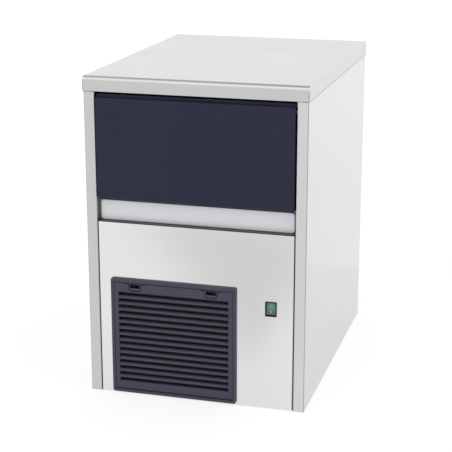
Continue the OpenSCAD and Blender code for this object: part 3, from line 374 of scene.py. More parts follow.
def smooth(mesh):
    """Shades a mesh round, apart from edges sharper than a crease."""
    mesh.shade_smooth()
    mesh.set_sharp_from_angle(angle=crease)


def lathe(name, outline, centre, turn, steps, material):
    """Turns an outline of (radius, height) points round an axis and closes it into a ring."""
    shape = bmesh.new()
    rings = []
    for i in range(steps):
        a = 2 * math.pi * i / steps
        rings.append([shape.verts.new((r * math.cos(a), r * math.sin(a), h)) for r, h in outline])
    for i in range(steps):
        here, there = rings[i], rings[(i + 1) % steps]
        for k in range(len(outline)):
            n = (k + 1) % len(outline)
            shape.faces.new((here[k], there[k], there[n], here[n]))
    bmesh.ops.recalc_face_normals(shape, faces=shape.faces)
    shape.transform(Matrix.Translation(centre) @ turn)
    piece = settle(name, shape, material)
    smooth(piece.data)
    return piece


shell_radius, shell_y, waist_height = 80 * mm, 163.5 * mm, 92 * mm
bead_radius, bead_depth, bead_height, bead_points = 79.6 * mm, 1.6 * mm, 2.2 * mm, 10
bead = []
for k in range(bead_points):
    a = 2 * math.pi * k / bead_points
    bead.append((bead_radius + bead_depth * math.cos(a), waist_height + bead_height * math.sin(a)))
shell_axis = Vector((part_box("compressor")[1].x - shell_radius, shell_y, 0))
weld = lathe("compressor_weld_bead", bead, shell_axis, Matrix.Identity(4), 72, black_paint)
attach(weld, "cabinet")

# Rubber: compressor feet, drain hose and the foam-rubber wrap of the evaporator, moulded or
# extruded in black and pushed or glued into place. The skin is dry, matt and slightly dusty.
rubber, tree, shader, place = start("black_moulded_rubber", "#232325", 0.72)
dust = add(tree, "ShaderNodeTexNoise", {"Scale": 1 / (12 * mm), "Detail": 5.0},
           {"Vector": place})
tone = add(tree, "ShaderNodeMix",
           {"data_type": "RGBA", "A": linear("#1c1c1e"), "B": linear("#343437")},
           {"Factor": dust.outputs[0]})
grain = add(tree, "ShaderNodeTexNoise", {"Scale": 1 / (0.8 * mm), "Detail": 1.0},
            {"Vector": place})
skin = add(tree, "ShaderNodeBump", {"Strength": 0.3, "Distance": 0.08 * mm},
           {"Height": grain.outputs[0]})
feed(tree, shader, {"Base Color": tone.outputs["Result"], "Normal": skin.outputs[0]})
dress(rubber, "compressor_mounts", "drain_hose", "evaporator_insulation")

# Fan, chute and small mouldings: black glass-filled nylon and polypropylene, clipped or screwed
# on. A fine spark-eroded grain from the mould, about 0.7 mm across, gives them a dull sheen.
black_plastic, tree, shader, place = start("black_grained_polypropylene", "#1d1e21", 0.48)
shader.inputs["Specular IOR Level"].default_value = 0.25
shader.inputs["IOR"].default_value = 1.49
grain = add(tree, "ShaderNodeTexNoise", {"Scale": 1 / (0.7 * mm), "Detail": 2.0},
            {"Vector": place})
skin = add(tree, "ShaderNodeBump", {"Strength": 0.2, "Distance": 0.04 * mm},
           {"Height": grain.outputs[0]})
shade = add(tree, "ShaderNodeMapRange", {"To Min": 0.42, "To Max": 0.56},
            {"Value": grain.outputs[0]})
feed(tree, shader, {"Normal": skin.outputs[0], "Roughness": shade.outputs[0]})
dress(black_plastic, "door_runners", "door_guides", "fan_motor", "fan_blade", "ice_chute",
      "cable_gland", "drain_outlet")

# Drive motor, gearbox, lower housing and breaker head: pressure die-cast aluminium, bolted up
# on the drive stand. Shot blasting leaves a dull pale skin with pits about 1.5 mm across.
cast_metal, tree, shader, place = start("die_cast_aluminium", "#a9abac", 0.5, 1.0)
pits = add(tree, "ShaderNodeTexNoise", {"Scale": 1 / (1.5 * mm), "Detail": 3.0},
           {"Vector": place})
skin = add(tree, "ShaderNodeBump", {"Strength": 0.35, "Distance": 0.1 * mm},
           {"Height": pits.outputs[0]})
shade = add(tree, "ShaderNodeMapRange", {"To Min": 0.42, "To Max": 0.62},
            {"Value": pits.outputs[0]})
feed(tree, shader, {"Normal": skin.outputs[0], "Roughness": shade.outputs[0]})
dress(cast_metal, "gearbox", "lower_housing", "breaker_head", "drive_motor")

# Evaporator tube, auger, sensor pocket and door pins: stainless steel turned on a lathe. Fine
# tool marks 0.6 mm apart run round the work and break up its shine.
turned_steel, tree, shader, place = start("turned_stainless_steel", "#c6c7c8", 0.28, 1.0)
stretch = add(tree, "ShaderNodeMapping", {"Scale": (0.06 / mm, 0.06 / mm, 1 / (0.6 * mm))},
              {"Vector": place})
tool = add(tree, "ShaderNodeTexNoise", {"Scale": 1.0, "Detail": 2.0},
           {"Vector": stretch.outputs[0]})
shade = add(tree, "ShaderNodeMapRange", {"To Min": 0.2, "To Max": 0.4},
            {"Value": tool.outputs[0]})
feed(tree, shader, {"Roughness": shade.outputs[0]})
dress(turned_steel, "evaporator_tube", "auger_shaft", "auger_flight", "bin_sensor", "door_pins")

# Water tank, hoses, inlet valve body and float: natural polyethylene and silicone, moulded or
# extruded and pushed together. They look milky and slightly see-through.
milky, tree, shader, place = start("natural_polyethylene", "#dfe3e2", 0.38)
shader.inputs["IOR"].default_value = 1.51
shader.inputs["Transmission Weight"].default_value = 0.25
flow = add(tree, "ShaderNodeTexNoise", {"Scale": 1 / (25 * mm), "Detail": 3.0},
           {"Vector": place})
tone = add(tree, "ShaderNodeMix",
           {"data_type": "RGBA", "A": linear("#cfd6d5"), "B": linear("#eceeed")},
           {"Factor": flow.outputs[0]})
feed(tree, shader, {"Base Color": tone.outputs["Result"]})
dress(milky, "water_tank", "water_hoses", "inlet_valve", "float_arm")

# Float valve: brass turned from bar and screwed into the tank wall. Its surface is warm and
# slightly tarnished, in patches about 8 mm across.
brass, tree, shader, place = start("turned_brass", "#c9a555", 0.3, 1.0)
cloud = add(tree, "ShaderNodeTexNoise", {"Scale": 1 / (8 * mm), "Detail": 4.0},
            {"Vector": place})
tone = add(tree, "ShaderNodeMix",
           {"data_type": "RGBA", "A": linear("#a07f3a"), "B": linear("#d6b468")},
           {"Factor": cloud.outputs[0]})
feed(tree, shader, {"Base Color": tone.outputs["Result"]})
dress(brass, "float_valve")

# Control board: glass-epoxy laminate carrying moulded relays, a capacitor and a terminal block
# that share its node. The glass weave shows through the green solder mask as paler lines, drawn
# 4 mm apart so that they can be seen.
board, tree, shader, place = start("green_glass_epoxy_board", "#1e5a38", 0.35)
weave = add(tree, "ShaderNodeTexBrick",
            {"Scale": 1 / (4 * mm), "Color1": linear("#1c5535"), "Color2": linear("#236440"),
             "Mortar": linear("#2f7a4f"), "Mortar Size": 0.03}, {"Vector": place})
feed(tree, shader, {"Base Color": weave.outputs["Color"]})
dress(board, "control_board")

# Bin liner, its drain and the insulation: white polystyrene sheet, vacuum formed over a tool,
# with rigid foam poured behind it and a slab of the same foam under the lid.

# Formed sheet: white and glossy, a little wavy over about 35 mm.
liner_white, tree, shader, place = start("vacuum_formed_polystyrene", "#e9ecec", 0.3)
shader.inputs["IOR"].default_value = 1.59
wave = add(tree, "ShaderNodeTexNoise", {"Scale": 1 / (35 * mm), "Detail": 2.0},
           {"Vector": place})
skin = add(tree, "ShaderNodeBump", {"Strength": 0.3, "Distance": 0.3 * mm},
           {"Height": wave.outputs[0]})
shade = add(tree, "ShaderNodeMapRange", {"To Min": 0.24, "To Max": 0.38},
            {"Value": wave.outputs[0]})
feed(tree, shader, {"Normal": skin.outputs[0], "Roughness": shade.outputs[0]})
dress(liner_white, "bin_liner", "bin_drain")

# Foam: straw-coloured and matt, with cells about 1.6 mm across.
foam, tree, shader, place = start("rigid_polyurethane_foam", "#dccf9f", 0.85)
cells = add(tree, "ShaderNodeTexVoronoi", {"Scale": 1 / (1.6 * mm)}, {"Vector": place})
skin = add(tree, "ShaderNodeBump", {"Strength": 0.5, "Distance": 0.3 * mm},
           {"Height": cells.outputs["Distance"]})
tone = add(tree, "ShaderNodeMix",
           {"data_type": "RGBA", "A": linear("#cbbd8b"), "B": linear("#e6dab0")},
           {"Factor": cells.outputs["Distance"]})
feed(tree, shader, {"Normal": skin.outputs[0], "Base Color": tone.outputs["Result"]})
dress(foam, "bin_insulation", "top_insulation")

# Side panels, lower front panel and lid: brushed stainless sheet about 1 mm thick, folded
# with tight bends. The lid drops over the cabinet and has a rounded front edge.

# Satin brushing: hairlines up to 150 mm long and drawn 0.7 mm wide so that they still show, and
# soft clouding a hand across from rolling and wiping. Painted shade: faces turned to the front are
# drawn greyer, in a different grey on each part, and a greyer line is painted along each upright
# fold.
hair, stroke, hand = 0.7 * mm, 150 * mm, 140 * mm
upright = (1 / hair, 1 / hair, 1 / stroke)
lengthways = (1 / hair, 1 / stroke, 1 / hair)
# Each row: the node, its brush direction, its dark and pale hairline tones, the painted shade of
# its front faces, its gloss and the extra roughness of its front faces.
for node, stretch_by, dark_tone, pale_tone, painted_front_shade, gloss, front_dull in (
        ("left_side_panel", upright, "#e0e0e0", "#e6e6e6", "#c8c8c8", 0.16, 0.25),
        ("right_side_panel", upright, "#e0e0e0", "#e6e6e6", "#d2d2d2", 0.16, 0.25),
        ("front_panel", upright, "#dcdcdc", "#e4e4e4", "#e1e1e1", 0.2, 0.0),
        ("top_cover", lengthways, "#dddddd", "#e4e4e4", "#c5c5c5", 0.3, 0.0)):
    steel, tree, shader, place = start("brushed_stainless_" + node, pale_tone, gloss, 1.0)
    stretch = add(tree, "ShaderNodeMapping", {"Scale": stretch_by}, {"Vector": place})
    hairline = add(tree, "ShaderNodeTexNoise", {"Scale": 1.0, "Detail": 3.0},
                   {"Vector": stretch.outputs[0]})
    cloud = add(tree, "ShaderNodeTexNoise", {"Scale": 1 / hand, "Detail": 2.0},
                {"Vector": place})
    both = add(tree, "ShaderNodeMath", {"operation": "MULTIPLY_ADD", 1: 0.7},
               {0: cloud.outputs[0], 2: hairline.outputs[0]})
    shade = add(tree, "ShaderNodeMapRange",
                {"From Min": 0.5, "From Max": 1.2, "To Min": gloss - 0.04, "To Max": gloss + 0.05},
                {"Value": both.outputs[0]})
    line = add(tree, "ShaderNodeMix",
               {"data_type": "RGBA", "A": linear(dark_tone), "B": linear(pale_tone)},
               {"Factor": hairline.outputs[0]})
    normal = add(tree, "ShaderNodeSeparateXYZ", (), {0: place.node.outputs["Normal"]}).outputs
    # Painted shade: faces turned to the front take the greyer front tone.
    front = add(tree, "ShaderNodeMapRange", {"From Min": -0.3, "From Max": -1.0},
                {"Value": normal["Y"]})
    tone = add(tree, "ShaderNodeMix", {"data_type": "RGBA", "B": linear(painted_front_shade)},
               {"Factor": front.outputs[0], "A": line.outputs["Result"]})
    # Painted shade: where the surface turns between front and side, along each upright fold, it is
    # drawn greyer.
    corner = add(tree, "ShaderNodeMath", {"operation": "MULTIPLY"},
                 {0: normal["X"], 1: normal["Y"]})
    either = add(tree, "ShaderNodeMath", {"operation": "ABSOLUTE"}, {0: corner.outputs[0]})
    painted_fold_shade_mask = add(tree, "ShaderNodeMapRange", {"From Min": 0.1, "From Max": 0.4},
               {"Value": either.outputs[0]})
    painted_fold_shade = add(tree, "ShaderNodeMix", {"data_type": "RGBA", "B": linear("#a4a4a4")},
                 {"Factor": painted_fold_shade_mask.outputs[0], "A": tone.outputs["Result"]})
    skin = add(tree, "ShaderNodeBump", {"Strength": 0.06, "Distance": 0.02 * mm},
               {"Height": hairline.outputs[0]})
    duller = add(tree, "ShaderNodeMath", {"operation": "MULTIPLY_ADD", 1: front_dull},
                 {0: front.outputs[0], 2: shade.outputs[0]})
    feed(tree, shader, {"Roughness": duller.outputs[0], "Base Color": painted_fold_shade.outputs["Result"],
                        "Normal": skin.outputs[0]})
    dress(steel, node)

# Shadow strips: thin black rubber bars shaped as foam tape, which paint the shadow lines between
# the lid and the side panels, under the lid's front edge and in the narrow gaps beside the front
# panel; and the filled joint at each front corner of the lid.


def bars(extents):
    """Makes square bars in one bmesh, each from its extents in x, y and z."""
    shape = bmesh.new()
    for x0, x1, y0, y1, z0, z1 in extents:
        size = Matrix.Diagonal((x1 - x0, y1 - y0, z1 - z0, 1))
        spot = Matrix.Translation(((x0 + x1) / 2, (y0 + y1) / 2, (z0 + z1) / 2))
        bmesh.ops.create_cube(shape, size=1, matrix=spot @ size)
    return shape


lid_low, lid_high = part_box("top_cover")
panel_low, panel_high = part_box("front_panel")
side_low, side_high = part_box("right_side_panel")
side_x, pillar_y = side_high.x, side_low.y
clear = 0.05 * mm
# Painted shadow: the bars below darken the gaps; only the lid joint is a real dark joint.
lid_shadow_strip = (side_x + clear, lid_high.x - 2 * clear, pillar_y + 2 * mm, lid_high.y - 4 * mm,
            lid_low.z - 0.8 * mm, lid_low.z - clear)
pillar_shadow_strip = (panel_high.x + 2 * mm, side_x - 1 * mm, lid_low.y + 2 * clear, pillar_y - clear,
               lid_low.z - 1 * mm, lid_low.z - clear)
panel_shadow_strip = (panel_high.x + clear, panel_high.x + 0.95 * mm, pillar_y + 1 * mm,
              pillar_y + 3 * mm, panel_low.z + 1 * mm, panel_high.z - 0.5 * mm)
lid_joint = (lid_high.x - 1.2 * mm, lid_high.x - 0.5 * mm, lid_low.y - clear, lid_low.y + clear,
             lid_low.z + 0.5 * mm, lid_low.z + 18 * mm)
on_right = [lid_shadow_strip, pillar_shadow_strip, panel_shadow_strip, lid_joint]
on_left = [(-x1, -x0, *others) for x0, x1, *others in on_right]
shadow_strips_and_lid_joints = settle("shadow_strips_and_lid_joints", bars(on_left + on_right), rubber)
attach(shadow_strips_and_lid_joints, "cabinet")

# Casing screws: zinc-plated pan heads with a cross recess, eight round the rear panel and
# three through the rear flange of the lid.

# Zinc plating: bright and a little cloudy, in patches about 2 mm across.
screw_zinc, tree, shader, place = start("zinc_plated_screw_steel", "#bfc3c6", 0.3, 1.0)
plating = add(tree, "ShaderNodeTexNoise", {"Scale": 1 / (2 * mm), "Detail": 2.0},
              {"Vector": place})
shade = add(tree, "ShaderNodeMapRange", {"To Min": 0.22, "To Max": 0.4},
            {"Value": plating.outputs[0]})
feed(tree, shader, {"Roughness": shade.outputs[0]})

screw_tree, sizes = new_tree("pan_head_screws", {
    "Places": "Geometry", "Head Radius": "Float", "Top Radius": "Float", "Head Height": "Float",
    "Recess": "Vector", "Recess Across": "Vector", "Recess Place": "Vector", "Turn": "Vector",
    "Material": "Material"})
head = add(screw_tree, "GeometryNodeMeshCone", {"Vertices": 28, "Side Segments": 1},
           {"Radius Top": sizes["Top Radius"], "Radius Bottom": sizes["Head Radius"],
            "Depth": sizes["Head Height"]})
lifted = []
for bar in ("Recess", "Recess Across"):
    blade = add(screw_tree, "GeometryNodeMeshCube", (), {"Size": sizes[bar]})
    lifted.append(add(screw_tree, "GeometryNodeTransform", (),
                      {"Geometry": blade.outputs[0], "Translation": sizes["Recess Place"]}))
cross = add(screw_tree, "GeometryNodeMeshBoolean", {"operation": "UNION"})
for blade in lifted:
    screw_tree.links.new(blade.outputs[0], cross.inputs["Mesh 2"])
cut = add(screw_tree, "GeometryNodeMeshBoolean", {"operation": "DIFFERENCE"},
          {"Mesh 1": head.outputs[0], "Mesh 2": cross.outputs[0]})
turned = add(screw_tree, "GeometryNodeTransform", (),
             {"Geometry": cut.outputs[0], "Rotation": sizes["Turn"]})
heads = add(screw_tree, "GeometryNodeInstanceOnPoints", (),
            {"Points": sizes["Places"], "Instance": turned.outputs[0]})
close(screw_tree, heads.outputs[0], sizes["Material"])
head_height, recess_long, recess_wide, recess_deep = 2.2 * mm, 4.2 * mm, 0.9 * mm, 3 * mm
to_rear = math.radians(-90)
rear_y, rear_x, rear_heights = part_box("rear_panel")[1].y, 216 * mm, (40, 225, 410, 595)
lid_screw_z, lid_screw_places = 638.5 * mm, (-160, 0, 160)
places = [(side * rear_x, rear_y, z * mm) for side in (-1, 1) for z in rear_heights]
places += [(x * mm, lid_high.y, lid_screw_z) for x in lid_screw_places]
marks = bpy.data.meshes.new("screw_places")
marks.from_pydata(places, [], [])
screws = grow("casing_screw_heads", screw_tree, {
    "Head Radius": 4 * mm, "Top Radius": 2.9 * mm, "Head Height": head_height,
    "Recess": (recess_long, recess_wide, recess_deep),
    "Recess Across": (recess_wide, recess_long, recess_deep),
    "Recess Place": (0, 0, head_height), "Turn": (to_rear, 0, 0), "Material": screw_zinc}, marks)
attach(screws, "cabinet")
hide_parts("casing_screws")

# Water inlet thread: a three-quarter inch pipe thread, moulded in one with the milky spigot at
# the rear, for the nut of the supply hose.
thread_tree, sizes = new_tree("inlet_thread", {
    "Turns": "Float", "Radius": "Float", "Length": "Float", "Ridge": "Float", "Place": "Vector",
    "Turn": "Vector", "Material": "Material"})
helix = add(thread_tree, "GeometryNodeCurveSpiral", {"Resolution": 40},
            {"Rotations": sizes["Turns"], "Start Radius": sizes["Radius"],
             "End Radius": sizes["Radius"], "Height": sizes["Length"]})
ridge = add(thread_tree, "GeometryNodeCurvePrimitiveCircle", {"Resolution": 6},
            {"Radius": sizes["Ridge"]})
swept = add(thread_tree, "GeometryNodeCurveToMesh", {"Fill Caps": True},
            {"Curve": helix.outputs[0], "Profile Curve": ridge.outputs[0]})
seated = add(thread_tree, "GeometryNodeTransform", (), {
    "Geometry": swept.outputs[0], "Translation": sizes["Place"], "Rotation": sizes["Turn"]})
close(thread_tree, seated.outputs[0], sizes["Material"])
thread_root = (134 * mm, 309.5 * mm, 300 * mm)
thread = grow("inlet_thread", thread_tree, {
    "Turns": 8.0, "Radius": 13.1 * mm, "Length": 15 * mm, "Ridge": 0.55 * mm,
    "Place": thread_root, "Turn": (to_rear, 0, 0), "Material": milky})
thread.data.shade_smooth()
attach(thread, "cabinet")

# Drain spigot: three barbs moulded on the black pipe at the rear, each a cone with a sharp
# heel. They hold the hose that is pushed over them.
barb_count, barb_step, barb_length = 3, 5 * mm, 3.6 * mm
pipe_radius, heel_radius, tip_radius = 10.8 * mm, 11.9 * mm, 11.1 * mm
first_barb = Vector((-160, 311, 70)) * mm
barb_outline = [(pipe_radius, 0), (heel_radius, 0), (tip_radius, barb_length),
                (pipe_radius, barb_length)]
for k in range(barb_count):
    spot = first_barb + Vector((0, k * barb_step, 0))
    barb = lathe("drain_barb_%d" % (k + 1), barb_outline, spot,
                 Matrix.Rotation(to_rear, 4, "X"), 48, black_plastic)
    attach(barb, "cabinet")

# Gland nut: fourteen grip ribs moulded round the black nut that screws on at the rear and
# clamps the supply cable.
rib_tree, sizes = new_tree("gland_ribs", {
    "Ribs": "Int", "Radius": "Float", "Rib Size": "Vector", "Place": "Vector", "Turn": "Vector",
    "Material": "Material"})
ring = add(rib_tree, "GeometryNodeMeshCircle", (),
           {"Vertices": sizes["Ribs"], "Radius": sizes["Radius"]})
rib = add(rib_tree, "GeometryNodeMeshCube", (), {"Size": sizes["Rib Size"]})
round_it = add(rib_tree, "GeometryNodeInstanceOnPoints", (),
               {"Points": ring.outputs[0], "Instance": rib.outputs[0]})
seated = add(rib_tree, "GeometryNodeTransform", (), {
    "Geometry": round_it.outputs[0], "Translation": sizes["Place"], "Rotation": sizes["Turn"]})
close(rib_tree, seated.outputs[0], sizes["Material"])
nut_middle = (30 * mm, 315.5 * mm, 62 * mm)
ribs = grow("gland_nut_ribs", rib_tree, {
    "Ribs": 14, "Radius": 8.9 * mm, "Rib Size": (1.3 * mm, 1.3 * mm, 9 * mm),
    "Place": nut_middle, "Turn": (to_rear, 0, 0), "Material": black_plastic})
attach(ribs, "cabinet")

# Grey strip: flat aluminium, brushed along its length, anodised and deburred, and glued into
# the recess under the door.


def soften(node, name, body, radius, steps, material):
    """Merges a copy of a CAD node and rounds its edges, as a mould or a deburring brush does."""
    same_point, least_bend = 0.001 * mm, math.radians(40)
    shape = bmesh.new()
    shape.from_mesh(frame["nodes"][node].data)
    bmesh.ops.remove_doubles(shape, verts=shape.verts, dist=same_point)
    piece = settle(name, shape, material)
    edge = piece.modifiers.new("rounded_edges", "BEVEL")
    edge.width = radius
    edge.segments = steps
    edge.limit_method = "ANGLE"
    edge.angle_limit = least_bend
    edge.miter_outer = "MITER_ARC"
    done = plain_mesh(piece)
    piece.modifiers.clear()
    piece.data = done
    done.name = name
    smooth(done)
    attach(piece, body)
    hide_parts(node)


# Satin anodising: pale grey, with fine level brush lines 0.5 mm apart.
anodised, tree, shader, place = start("satin_anodised_aluminium", "#cfd0d4", 0.5, 0.2)
stretch = add(tree, "ShaderNodeMapping",
              {"Scale": (1 / (120 * mm), 1 / (0.5 * mm), 1 / (0.5 * mm))}, {"Vector": place})
brush = add(tree, "ShaderNodeTexNoise", {"Scale": 1.0, "Detail": 2.0},
            {"Vector": stretch.outputs[0]})
shade = add(tree, "ShaderNodeMapRange", {"To Min": 0.38, "To Max": 0.55},
            {"Value": brush.outputs[0]})
tone = add(tree, "ShaderNodeMix",
           {"data_type": "RGBA", "A": linear("#cdced2"), "B": linear("#d9dadd")},
           {"Factor": brush.outputs[0]})
feed(tree, shader, {"Roughness": shade.outputs[0], "Base Color": tone.outputs["Result"]})
soften("name_strip", "grey_strip", "cabinet", 0.5 * mm, 3, anodised)

# Grille frame and louvre panel: dark grey ABS mouldings. The louvre panel swings out on two
# pins at its foot and is held at the top by two springy latch tongues.

# Moulded ABS: blue-grey, satin, with a fine leather-like grain about 0.6 mm across. Painted light:
# the upper faces of the blades are drawn paler, painted shade darkens the slots towards the
# filter, and the grooves round the latches are painted almost black.
louvre_low, louvre_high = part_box("grille_louvre")
slot_shade_begins, slot_shade_full = -308 * mm, -303 * mm
latch_band, face_depth = 22 * mm, 0.6 * mm
grille_abs, tree, shader, place = start("dark_grey_moulded_abs", "#3c3c48", 0.48)
shader.inputs["Specular IOR Level"].default_value = 0.3
shader.inputs["IOR"].default_value = 1.53
grain = add(tree, "ShaderNodeTexNoise", {"Scale": 1 / (0.6 * mm), "Detail": 2.0},
            {"Vector": place})
flow = add(tree, "ShaderNodeTexNoise", {"Scale": 1 / (60 * mm), "Detail": 2.0},
           {"Vector": place})
skin = add(tree, "ShaderNodeBump", {"Strength": 0.15, "Distance": 0.04 * mm},
           {"Height": grain.outputs[0]})
tone = add(tree, "ShaderNodeMix",
           {"data_type": "RGBA", "A": linear("#383847"), "B": linear("#404050")},
           {"Factor": flow.outputs[0]})
normal = add(tree, "ShaderNodeSeparateXYZ", (), {0: place.node.outputs["Normal"]}).outputs
# Painted light: faces turned upward are drawn paler.
painted_top_light_mask = add(tree, "ShaderNodeMapRange", {"From Min": 0.5, "From Max": 0.85},
            {"Value": normal["Z"]})
with_painted_top_light = add(tree, "ShaderNodeMix", {"data_type": "RGBA", "B": linear("#51515e")},
            {"Factor": painted_top_light_mask.outputs[0], "A": tone.outputs["Result"]})
inward = add(tree, "ShaderNodeSeparateXYZ", (), {0: place}).outputs
# Painted shade: the slots are drawn darker towards the filter.
painted_slot_shade_mask = add(tree, "ShaderNodeMapRange", {"From Min": slot_shade_begins, "From Max": slot_shade_full},
            {"Value": inward["Y"]})
# Painted shade: surfaces behind the front face in the band round the latches are drawn almost
# black.
above = add(tree, "ShaderNodeMath", {"operation": "GREATER_THAN", 1: louvre_high.z - latch_band},
            {0: inward["Z"]})
behind = add(tree, "ShaderNodeMath", {"operation": "GREATER_THAN", 1: louvre_low.y + face_depth},
             {0: inward["Y"]})
painted_groove_shade_mask = add(tree, "ShaderNodeMath", {"operation": "MULTIPLY"},
             {0: above.outputs[0], 1: behind.outputs[0]})
with_painted_slot_shade = add(tree, "ShaderNodeMix", {"data_type": "RGBA", "B": linear("#2a2a33")},
            {"Factor": painted_slot_shade_mask.outputs[0], "A": with_painted_top_light.outputs["Result"]})
with_painted_groove_shade = add(tree, "ShaderNodeMix", {"data_type": "RGBA", "B": linear("#141419")},
              {"Factor": painted_groove_shade_mask.outputs[0], "A": with_painted_slot_shade.outputs["Result"]})
shade = add(tree, "ShaderNodeMapRange", {"To Min": 0.4, "To Max": 0.54},
            {"Value": grain.outputs[0]})
feed(tree, shader, {"Normal": skin.outputs[0], "Base Color": with_painted_groove_shade.outputs["Result"],
                    "Roughness": shade.outputs[0]})
soften("grille_frame", "grille_surround", "cabinet", 0.8 * mm, 3, grille_abs)
soften("grille_louvre", "louvre_panel", "grille", 0.35 * mm, 2, grille_abs)

# Edge lip: a thin black rubber lip round the louvre panel, which paints the shadow in the gap
# between the panel and the frame and swings out with the panel.
pin_reach, lip, proud = 3 * mm, 1 * mm, 0.3 * mm
left, right = louvre_low.x + pin_reach, louvre_high.x - pin_reach
foot, top = louvre_low.z, louvre_high.z
lip_front, lip_back = louvre_low.y - proud, louvre_low.y + proud
gap_shadow_lip = settle("louvre_gap_shadow_lip", bars([
    (left, left + lip, lip_front, lip_back, foot, top),
    (right - lip, right, lip_front, lip_back, foot, top),
    (left + lip, right - lip, lip_front, lip_back, top - lip, top),
    (left + lip, right - lip, lip_front, lip_back, foot, foot + lip)]), rubber)
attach(gap_shadow_lip, "grille")

# Air filter: black polypropylene thread woven at 2 mm, welded into a thin frame behind the
# louvres, so that it comes out with the panel.

# Net thread: black and dull, greyed by lint in patches about 10 mm across.
filter_net, tree, shader, place = start("woven_polypropylene_net", "#1a1a1c", 0.55)
lint = add(tree, "ShaderNodeTexNoise", {"Scale": 1 / (10 * mm), "Detail": 4.0},
           {"Vector": place})
tone = add(tree, "ShaderNodeMix",
           {"data_type": "RGBA", "A": linear("#161618"), "B": linear("#2a2a2d")},
           {"Factor": lint.outputs[0]})
feed(tree, shader, {"Base Color": tone.outputs["Result"]})

net_tree, sizes = new_tree("filter_net", {
    "Across": "Int", "Step Across": "Vector", "Upright Thread": "Vector",
    "Upright Place": "Vector", "Up": "Int", "Step Up": "Vector", "Level Thread": "Vector",
    "Level Place": "Vector", "Material": "Material"})
woven = add(net_tree, "GeometryNodeJoinGeometry")
for count, step, strand_size, where in (
        ("Across", "Step Across", "Upright Thread", "Upright Place"),
        ("Up", "Step Up", "Level Thread", "Level Place")):
    line = add(net_tree, "GeometryNodeMeshLine", (),
               {"Count": sizes[count], "Start Location": sizes[where], "Offset": sizes[step]})
    strand = add(net_tree, "GeometryNodeMeshCube", (), {"Size": sizes[strand_size]})
    strands = add(net_tree, "GeometryNodeInstanceOnPoints", (),
                  {"Points": line.outputs[0], "Instance": strand.outputs[0]})
    net_tree.links.new(strands.outputs[0], woven.inputs[0])
close(net_tree, woven.outputs[0], sizes["Material"])
pitch, strand_width, cross_over, rim_width = 2 * mm, 0.7 * mm, 0.3 * mm, 5 * mm
low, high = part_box("air_filter")
middle, span = (low + high) / 2, high - low
end_gap = 0.5 * mm
strand_up, strand_across = span.z - 2 * end_gap, span.x - 2 * end_gap
net = grow("filter_net", net_tree, {
    "Across": int(span.x / pitch), "Step Across": (pitch, 0, 0),
    "Upright Thread": (strand_width, strand_width, strand_up),
    "Upright Place": (low.x + pitch / 2, middle.y - cross_over, middle.z),
    "Up": int(span.z / pitch), "Step Up": (0, 0, pitch),
    "Level Thread": (strand_across, strand_width, strand_width),
    "Level Place": (middle.x, middle.y + cross_over, low.z + pitch / 2), "Material": filter_net})
rim_low, rim_high = low.z + rim_width, high.z - rim_width
rim = bars([(low.x, high.x, low.y, high.y, low.z, rim_low),
            (low.x, high.x, low.y, high.y, rim_high, high.z),
            (low.x, low.x + rim_width, low.y, high.y, rim_low, rim_high),
            (high.x - rim_width, high.x, low.y, high.y, rim_low, rim_high)])
rim.from_mesh(net.data)
rim.to_mesh(net.data)
rim.free()
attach(net, "grille")
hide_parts("air_filter")

# Rocker switch: black nylon bezel snapped into the front panel, with a green polycarbonate
# rocker that tips about its middle. The usual bar and ring are printed on it in pale ink.
soften("switch_housing", "switch_bezel", "cabinet", 0.5 * mm, 2, black_plastic)

# Polycarbonate: glossy green, with painted shade that fades it to a dark grey in the lower half,
# and a fine grain about 0.5 mm across.
painted_shade_full_below, painted_shade_gone_above = 204.5 * mm, 213.5 * mm
lens, tree, shader, place = start("green_polycarbonate", "#5f8f84", 0.3)
shader.inputs["IOR"].default_value = 1.58
height = add(tree, "ShaderNodeSeparateXYZ", (), {0: place}).outputs["Z"]
# Painted shade: below this height the rocker is drawn dark grey.
half = add(tree, "ShaderNodeMapRange", {"From Min": painted_shade_full_below, "From Max": painted_shade_gone_above},
           {"Value": height})
tone = add(tree, "ShaderNodeMix",
           {"data_type": "RGBA", "A": linear("#4c5254"), "B": linear("#4f7d72")},
           {"Factor": half.outputs[0]})
grain = add(tree, "ShaderNodeTexNoise", {"Scale": 1 / (0.5 * mm), "Detail": 1.0},
            {"Vector": place})
shade = add(tree, "ShaderNodeMapRange", {"To Min": 0.24, "To Max": 0.36},
            {"Value": grain.outputs[0]})
feed(tree, shader, {"Base Color": tone.outputs["Result"], "Roughness": shade.outputs[0]})
soften("switch_rocker", "rocker", "rocker", 0.4 * mm, 2, lens)

# Pad-printed ink: pale and matt, thin enough for the green to tint it.
print_white, tree, shader, place = start("white_pad_print", "#b9c4c0", 0.6)
ink = add(tree, "ShaderNodeTexNoise", {"Scale": 1 / (0.4 * mm), "Detail": 2.0},
          {"Vector": place})
tone = add(tree, "ShaderNodeMix",
           {"data_type": "RGBA", "A": linear("#acb8b4"), "B": linear("#c6d0cc")},
           {"Factor": ink.outputs[0]})
feed(tree, shader, {"Base Color": tone.outputs["Result"]})

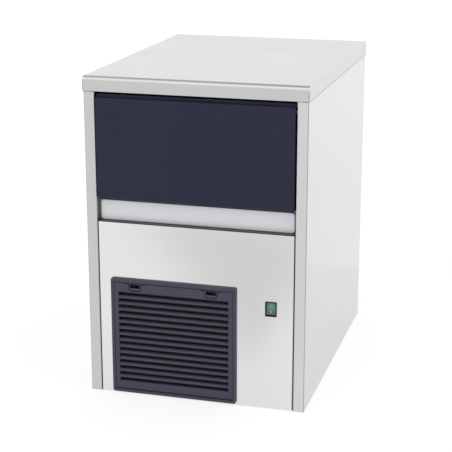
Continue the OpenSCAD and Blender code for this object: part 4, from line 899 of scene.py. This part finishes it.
# The rocker rests at one end of its travel, and its face is dished: it stands further out at
# the ends than at the waist. The bar is on the upper half and the ring on the lower.
rock = next(joint for joint in frame["joints"] if joint["name"] == "switch_rock")
pivot, tilt = Vector(rock["pos_m"]), math.radians(rock["range_deg"][1] / 2)
end_reach, waist_reach, half_height = 6.4 * mm, 4.8 * mm, 12 * mm
bar_half, bar_reach, ring_outer, ring_inner = 0.45 * mm, 2 * mm, 1.9 * mm, 1.35 * mm
ring_points, ink_depth = 32, 0.12 * mm
bar_outline = [(-bar_half, -bar_reach), (bar_half, -bar_reach), (bar_half, bar_reach),
               (-bar_half, bar_reach)]
ring_angles = [2 * math.pi * k / ring_points for k in range(ring_points)]
ring_outlines = [[(r * math.cos(a), r * math.sin(a)) for a in ring_angles]
                 for r in (ring_outer, ring_inner)]
for name, side, outlines in (("rocker_bar_mark", 1, [bar_outline]),
                             ("rocker_ring_mark", -1, ring_outlines)):
    shape = bmesh.new()
    loops = [[shape.verts.new((x, -ink_depth / 2, z)) for x, z in outline] for outline in outlines]
    outer, inner = loops[0], loops[-1]
    if outer is inner:
        shape.faces.new(outer)
    else:
        for k in range(len(outer)):
            n = (k + 1) % len(outer)
            shape.faces.new((outer[k], outer[n], inner[n], inner[k]))
    bmesh.ops.recalc_face_normals(shape, faces=shape.faces)
    raised = bmesh.ops.extrude_face_region(shape, geom=shape.faces[:])["geom"]
    bmesh.ops.translate(shape, vec=(0, ink_depth, 0),
                        verts=[v for v in raised if isinstance(v, bmesh.types.BMVert)])
    bmesh.ops.recalc_face_normals(shape, faces=shape.faces)
    lean = side * math.atan2(end_reach - waist_reach, half_height)
    middle = Vector((0, -(end_reach + waist_reach) / 2, side * half_height / 2))
    shape.transform(Matrix.Translation(pivot) @ Matrix.Rotation(-tilt, 4, "X")
                    @ Matrix.Translation(middle) @ Matrix.Rotation(lean, 4, "X"))
    mark = settle(name, shape, print_white)
    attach(mark, "rocker")

# Door: one dark blue ABS moulding with rolled edges and a recessed lip, closed at the back by
# a flat cover. It tips up on two pins and slides back under the lid.

# Moulded ABS: dark blue and satin, with a fine grain about 0.6 mm across and faint flow clouds
# about 90 mm across.
door_abs, tree, shader, place = start("dark_blue_moulded_abs", "#26283a", 0.45)
shader.inputs["Specular IOR Level"].default_value = 0.12
shader.inputs["IOR"].default_value = 1.53
grain = add(tree, "ShaderNodeTexNoise", {"Scale": 1 / (0.6 * mm), "Detail": 2.0},
            {"Vector": place})
flow = add(tree, "ShaderNodeTexNoise", {"Scale": 1 / (90 * mm), "Detail": 2.0},
           {"Vector": place})
skin = add(tree, "ShaderNodeBump", {"Strength": 0.12, "Distance": 0.04 * mm},
           {"Height": grain.outputs[0]})
tone = add(tree, "ShaderNodeMix",
           {"data_type": "RGBA", "A": linear("#242638"), "B": linear("#292b3d")},
           {"Factor": flow.outputs[0]})
shade = add(tree, "ShaderNodeMapRange", {"To Min": 0.36, "To Max": 0.5},
            {"Value": grain.outputs[0]})
feed(tree, shader, {"Normal": skin.outputs[0], "Base Color": tone.outputs["Result"],
                    "Roughness": shade.outputs[0]})
soften("door_outer", "door_moulding", "door", 1.0 * mm, 3, door_abs)
soften("door_inner", "door_back_cover", "door", 0.8 * mm, 3, door_abs)
